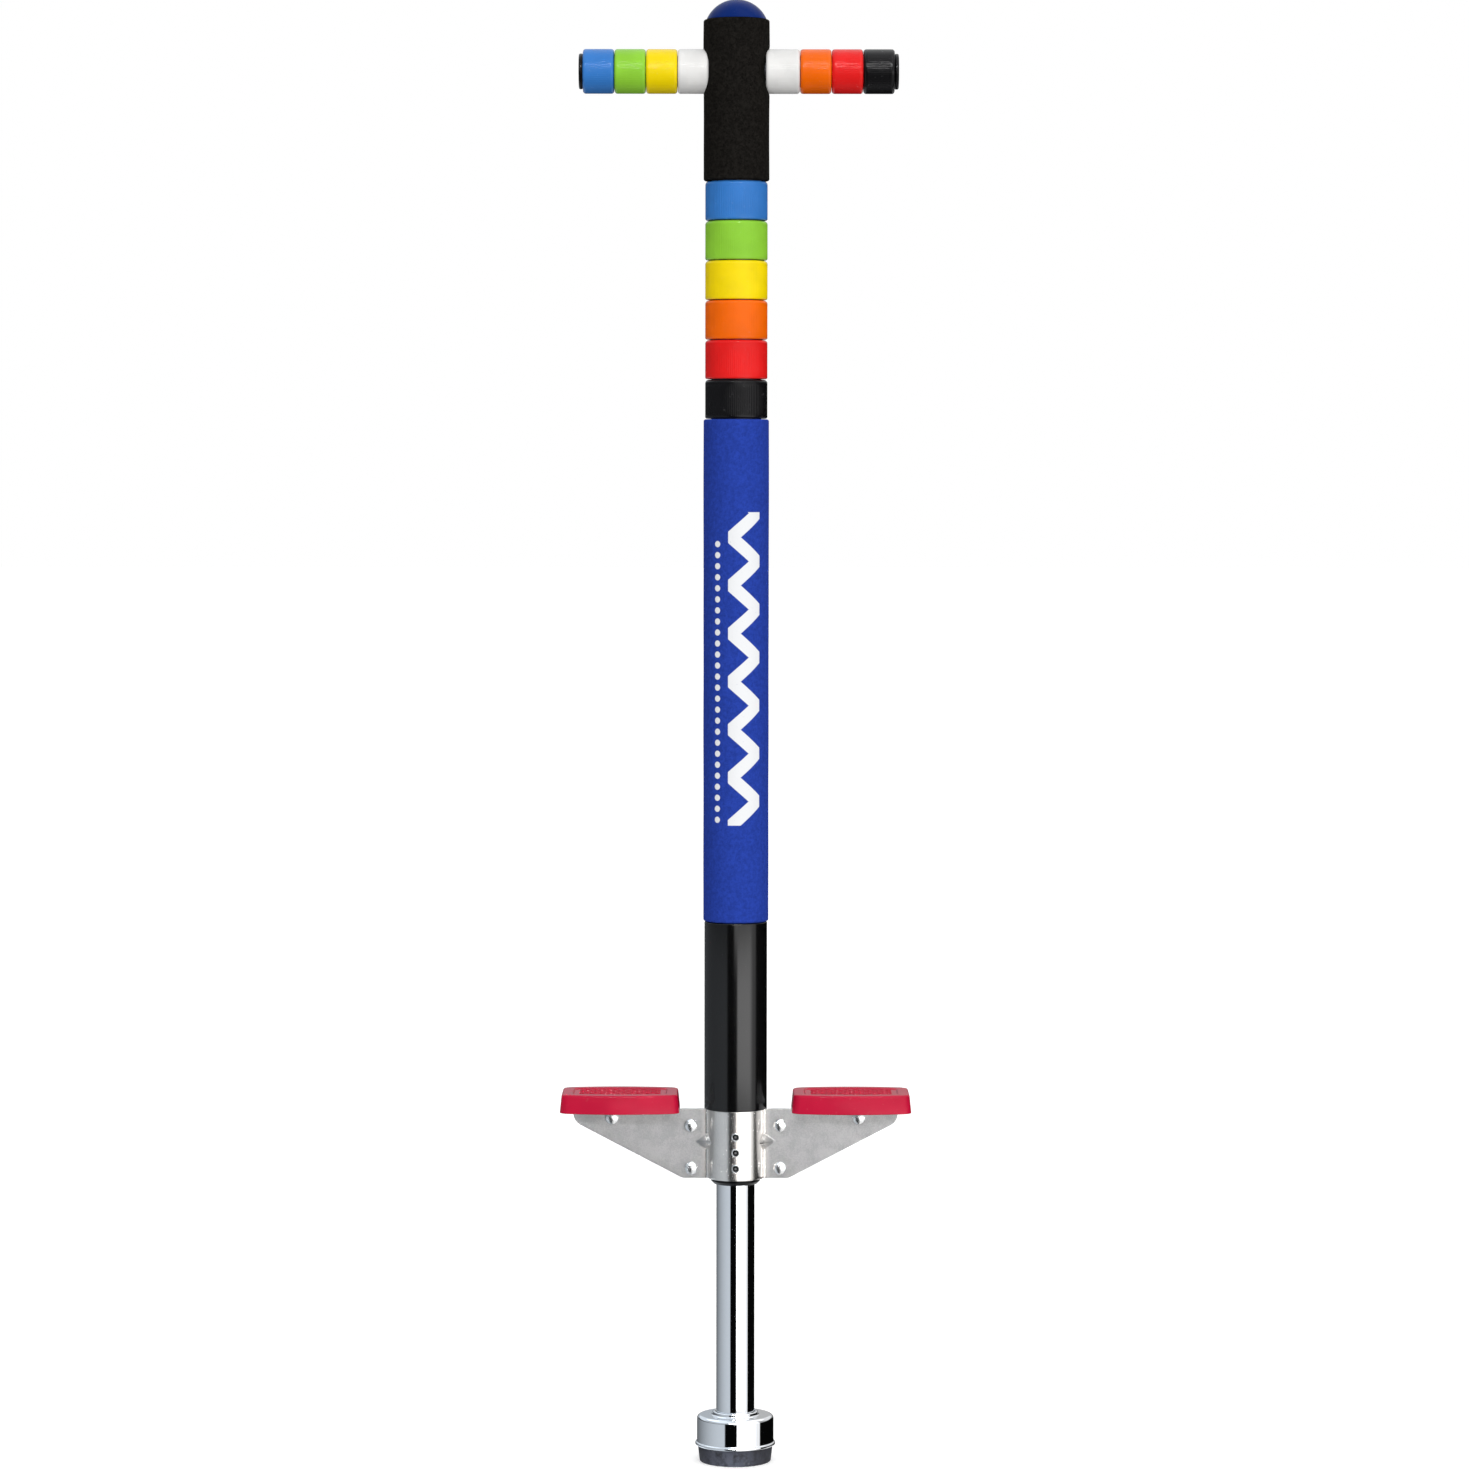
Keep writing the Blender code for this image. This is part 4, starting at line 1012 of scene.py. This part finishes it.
def make_floor():
    """A pale floor that reflections don't show, so that polished metal keeps the studio's panels in it. It
    is clear from below, so that the underside can be seen."""
    reach = 30.0
    mesh = bpy.data.meshes.new("floor")
    corners = [(x * reach, y * reach, 0) for x, y in ((-1, -1), (1, -1), (1, 1), (-1, 1))]
    mesh.from_pydata(corners, [], [(0, 1, 2, 3)])
    floor = bpy.data.objects.new("floor", mesh)
    bpy.context.scene.collection.objects.link(floor)
    material, tree, shader = new_material("pale floor", 1.0, Specular_IOR_Level=0.0)
    shader.inputs["Base Color"].default_value = (0.93, 0.93, 0.93, 1.0)
    shader.inputs["Emission Color"].default_value = WHITE
    shader.inputs["Emission Strength"].default_value = 0.38
    under = add_node(tree, "NewGeometry").outputs["Backfacing"]
    clear = add_node(tree, "BsdfTransparent").outputs[0]
    seen = add_node(tree, "MixShader", {0: under, 1: shader.outputs[0], 2: clear}).outputs[0]
    tree.links.new(seen, tree.nodes["Material Output"].inputs["Surface"])
    mesh.materials.append(material)
    floor.visible_glossy = False
    floor.visible_diffuse = False


def light_studio():
    """White behind the object. Matt surfaces are lit all round, most from the front right. Glossy ones see
    a wide white panel at the right front with a hot band low in it, a small front panel, a thin high beam,
    a wall at the left that dims towards the back, upper, rear and side panels, a ceiling, a low light at
    the sides and the back, and dark between them. Azimuth 0 is the front and grows to the right, and height
    is the upward part of the way."""
    world = bpy.data.worlds.new("studio")
    bpy.context.scene.world = world
    world.use_nodes = True
    world.cycles.sampling_method = "NONE"
    tree = world.node_tree
    tree.nodes.clear()
    way = add_node(tree, "TexCoord").outputs["Generated"]
    part = split(tree, way)
    azimuth = maths(tree, "ARCTAN2", part["X"], product(tree, part["Y"], -1.0))
    azimuth = maths(tree, "DEGREES", azimuth)
    off_front = maths(tree, "ABSOLUTE", azimuth)
    height = part["Z"]

    def between(value, start, end, soft, strength=1.0):
        rise = remap(tree, value, start - soft, start + soft)
        fall = remap(tree, value, end + soft, end - soft)
        return product(tree, rise, fall, strength)

    def lit(light, *others):
        for other in others:
            light = maths(tree, "ADD", light, other)
        return light

    hot = product(tree, between(height, -0.24, 0.0, 0.02, 2.4), remap(tree, azimuth, 68.0, 52.0))
    wide = product(tree, between(azimuth, 6.0, 79.0, 1.5), lit(0.95, hot))
    front = product(tree, between(azimuth, -5.0, 6.0, 1.0), between(height, 0.0, 0.14, 0.02, 2.2))
    upper = remap(tree, height, 0.12, 0.17, 0.0, 0.38)
    upper = product(tree, between(off_front, -1.0, 100.0, 15.0), upper)
    beam = product(tree, between(azimuth, -18.0, 18.0, 6.0), between(height, 0.47, 0.51, 0.008, 55.0))
    left_wall = remap(tree, azimuth, -175.0, -35.0, 0.14, 0.66)
    left_wall = product(tree, left_wall, between(azimuth, -179.0, -31.0, 2.0))
    left_wall = product(tree, left_wall, remap(tree, height, 0.03, -0.03, 0.3, 1.0))
    rear = product(tree, remap(tree, off_front, 140.0, 160.0, 0.0, 0.48), remap(tree, height, 0.03, 0.11))
    sides = product(tree, remap(tree, off_front, 90.0, 120.0, 0.0, 0.8), remap(tree, height, 0.20, 0.30))
    walls = maths(tree, "MAXIMUM", rear, sides)
    ceiling = remap(tree, height, 0.60, 0.70, 0.0, 0.6)
    below = remap(tree, height, -0.235, -0.285, 0.0, 0.8)
    below = product(tree, below, between(off_front, 108.0, 168.0, 5.0))
    bright = lit(0.002, wide, front, upper, beam, left_wall, walls, ceiling, below)

    def lobe(direction, strength):
        """Soft light from one direction: strength * cos ^ 2 of the way to it, and none from behind."""
        inputs = {0: way, 1: direction}
        cosine = add_node(tree, "VectorMath", inputs, operation="DOT_PRODUCT").outputs["Value"]
        cosine = maths(tree, "MAXIMUM", cosine, 0.0)
        return product(tree, cosine, cosine, strength)

    soft_light = lit(0.25, lobe((0.243, -0.908, 0.342), 1.78), lobe((-0.157, 0.893, 0.423), 1.0))
    cool = mix_colors(tree, remap(tree, azimuth, 0.0, -30.0), WHITE, (0.86, 0.93, 1.0, 1.0))

    def background(color, strength):
        return add_node(tree, "Background", {"Color": color, "Strength": strength}).outputs[0]

    def either(share, first, second):
        return add_node(tree, "MixShader", {0: share, 1: first, 2: second}).outputs[0]

    kinds = add_node(tree, "LightPath").outputs
    light = either(kinds["Is Glossy Ray"], background(WHITE, soft_light), background(cool, bright))
    shown = either(kinds["Is Camera Ray"], light, background(WHITE, 1.0))
    add_node(tree, "OutputWorld", {"Surface": shown})
    bpy.context.scene.view_settings.view_transform = "Standard"


make_camera()
make_floor()
light_studio()
rivet_steel_with_painted_well_shade = make_blind_rivet_steel("blind rivet steel")
make_column_rings()
make_foam_sleeve()
make_upper_grip()
make_lower_sleeve()
make_dome()
make_handle_rings()
make_end_caps()
make_bracket("front_bracket", -1)
make_bracket("rear_bracket", 1)
make_rivets()
make_barrel_rivets()
make_pedals()
make_pedal_screws()
make_lower_bushing()
make_plunger()
make_foot_cup()
make_rubber_tip()
make_spring()
dress_frame_nodes()
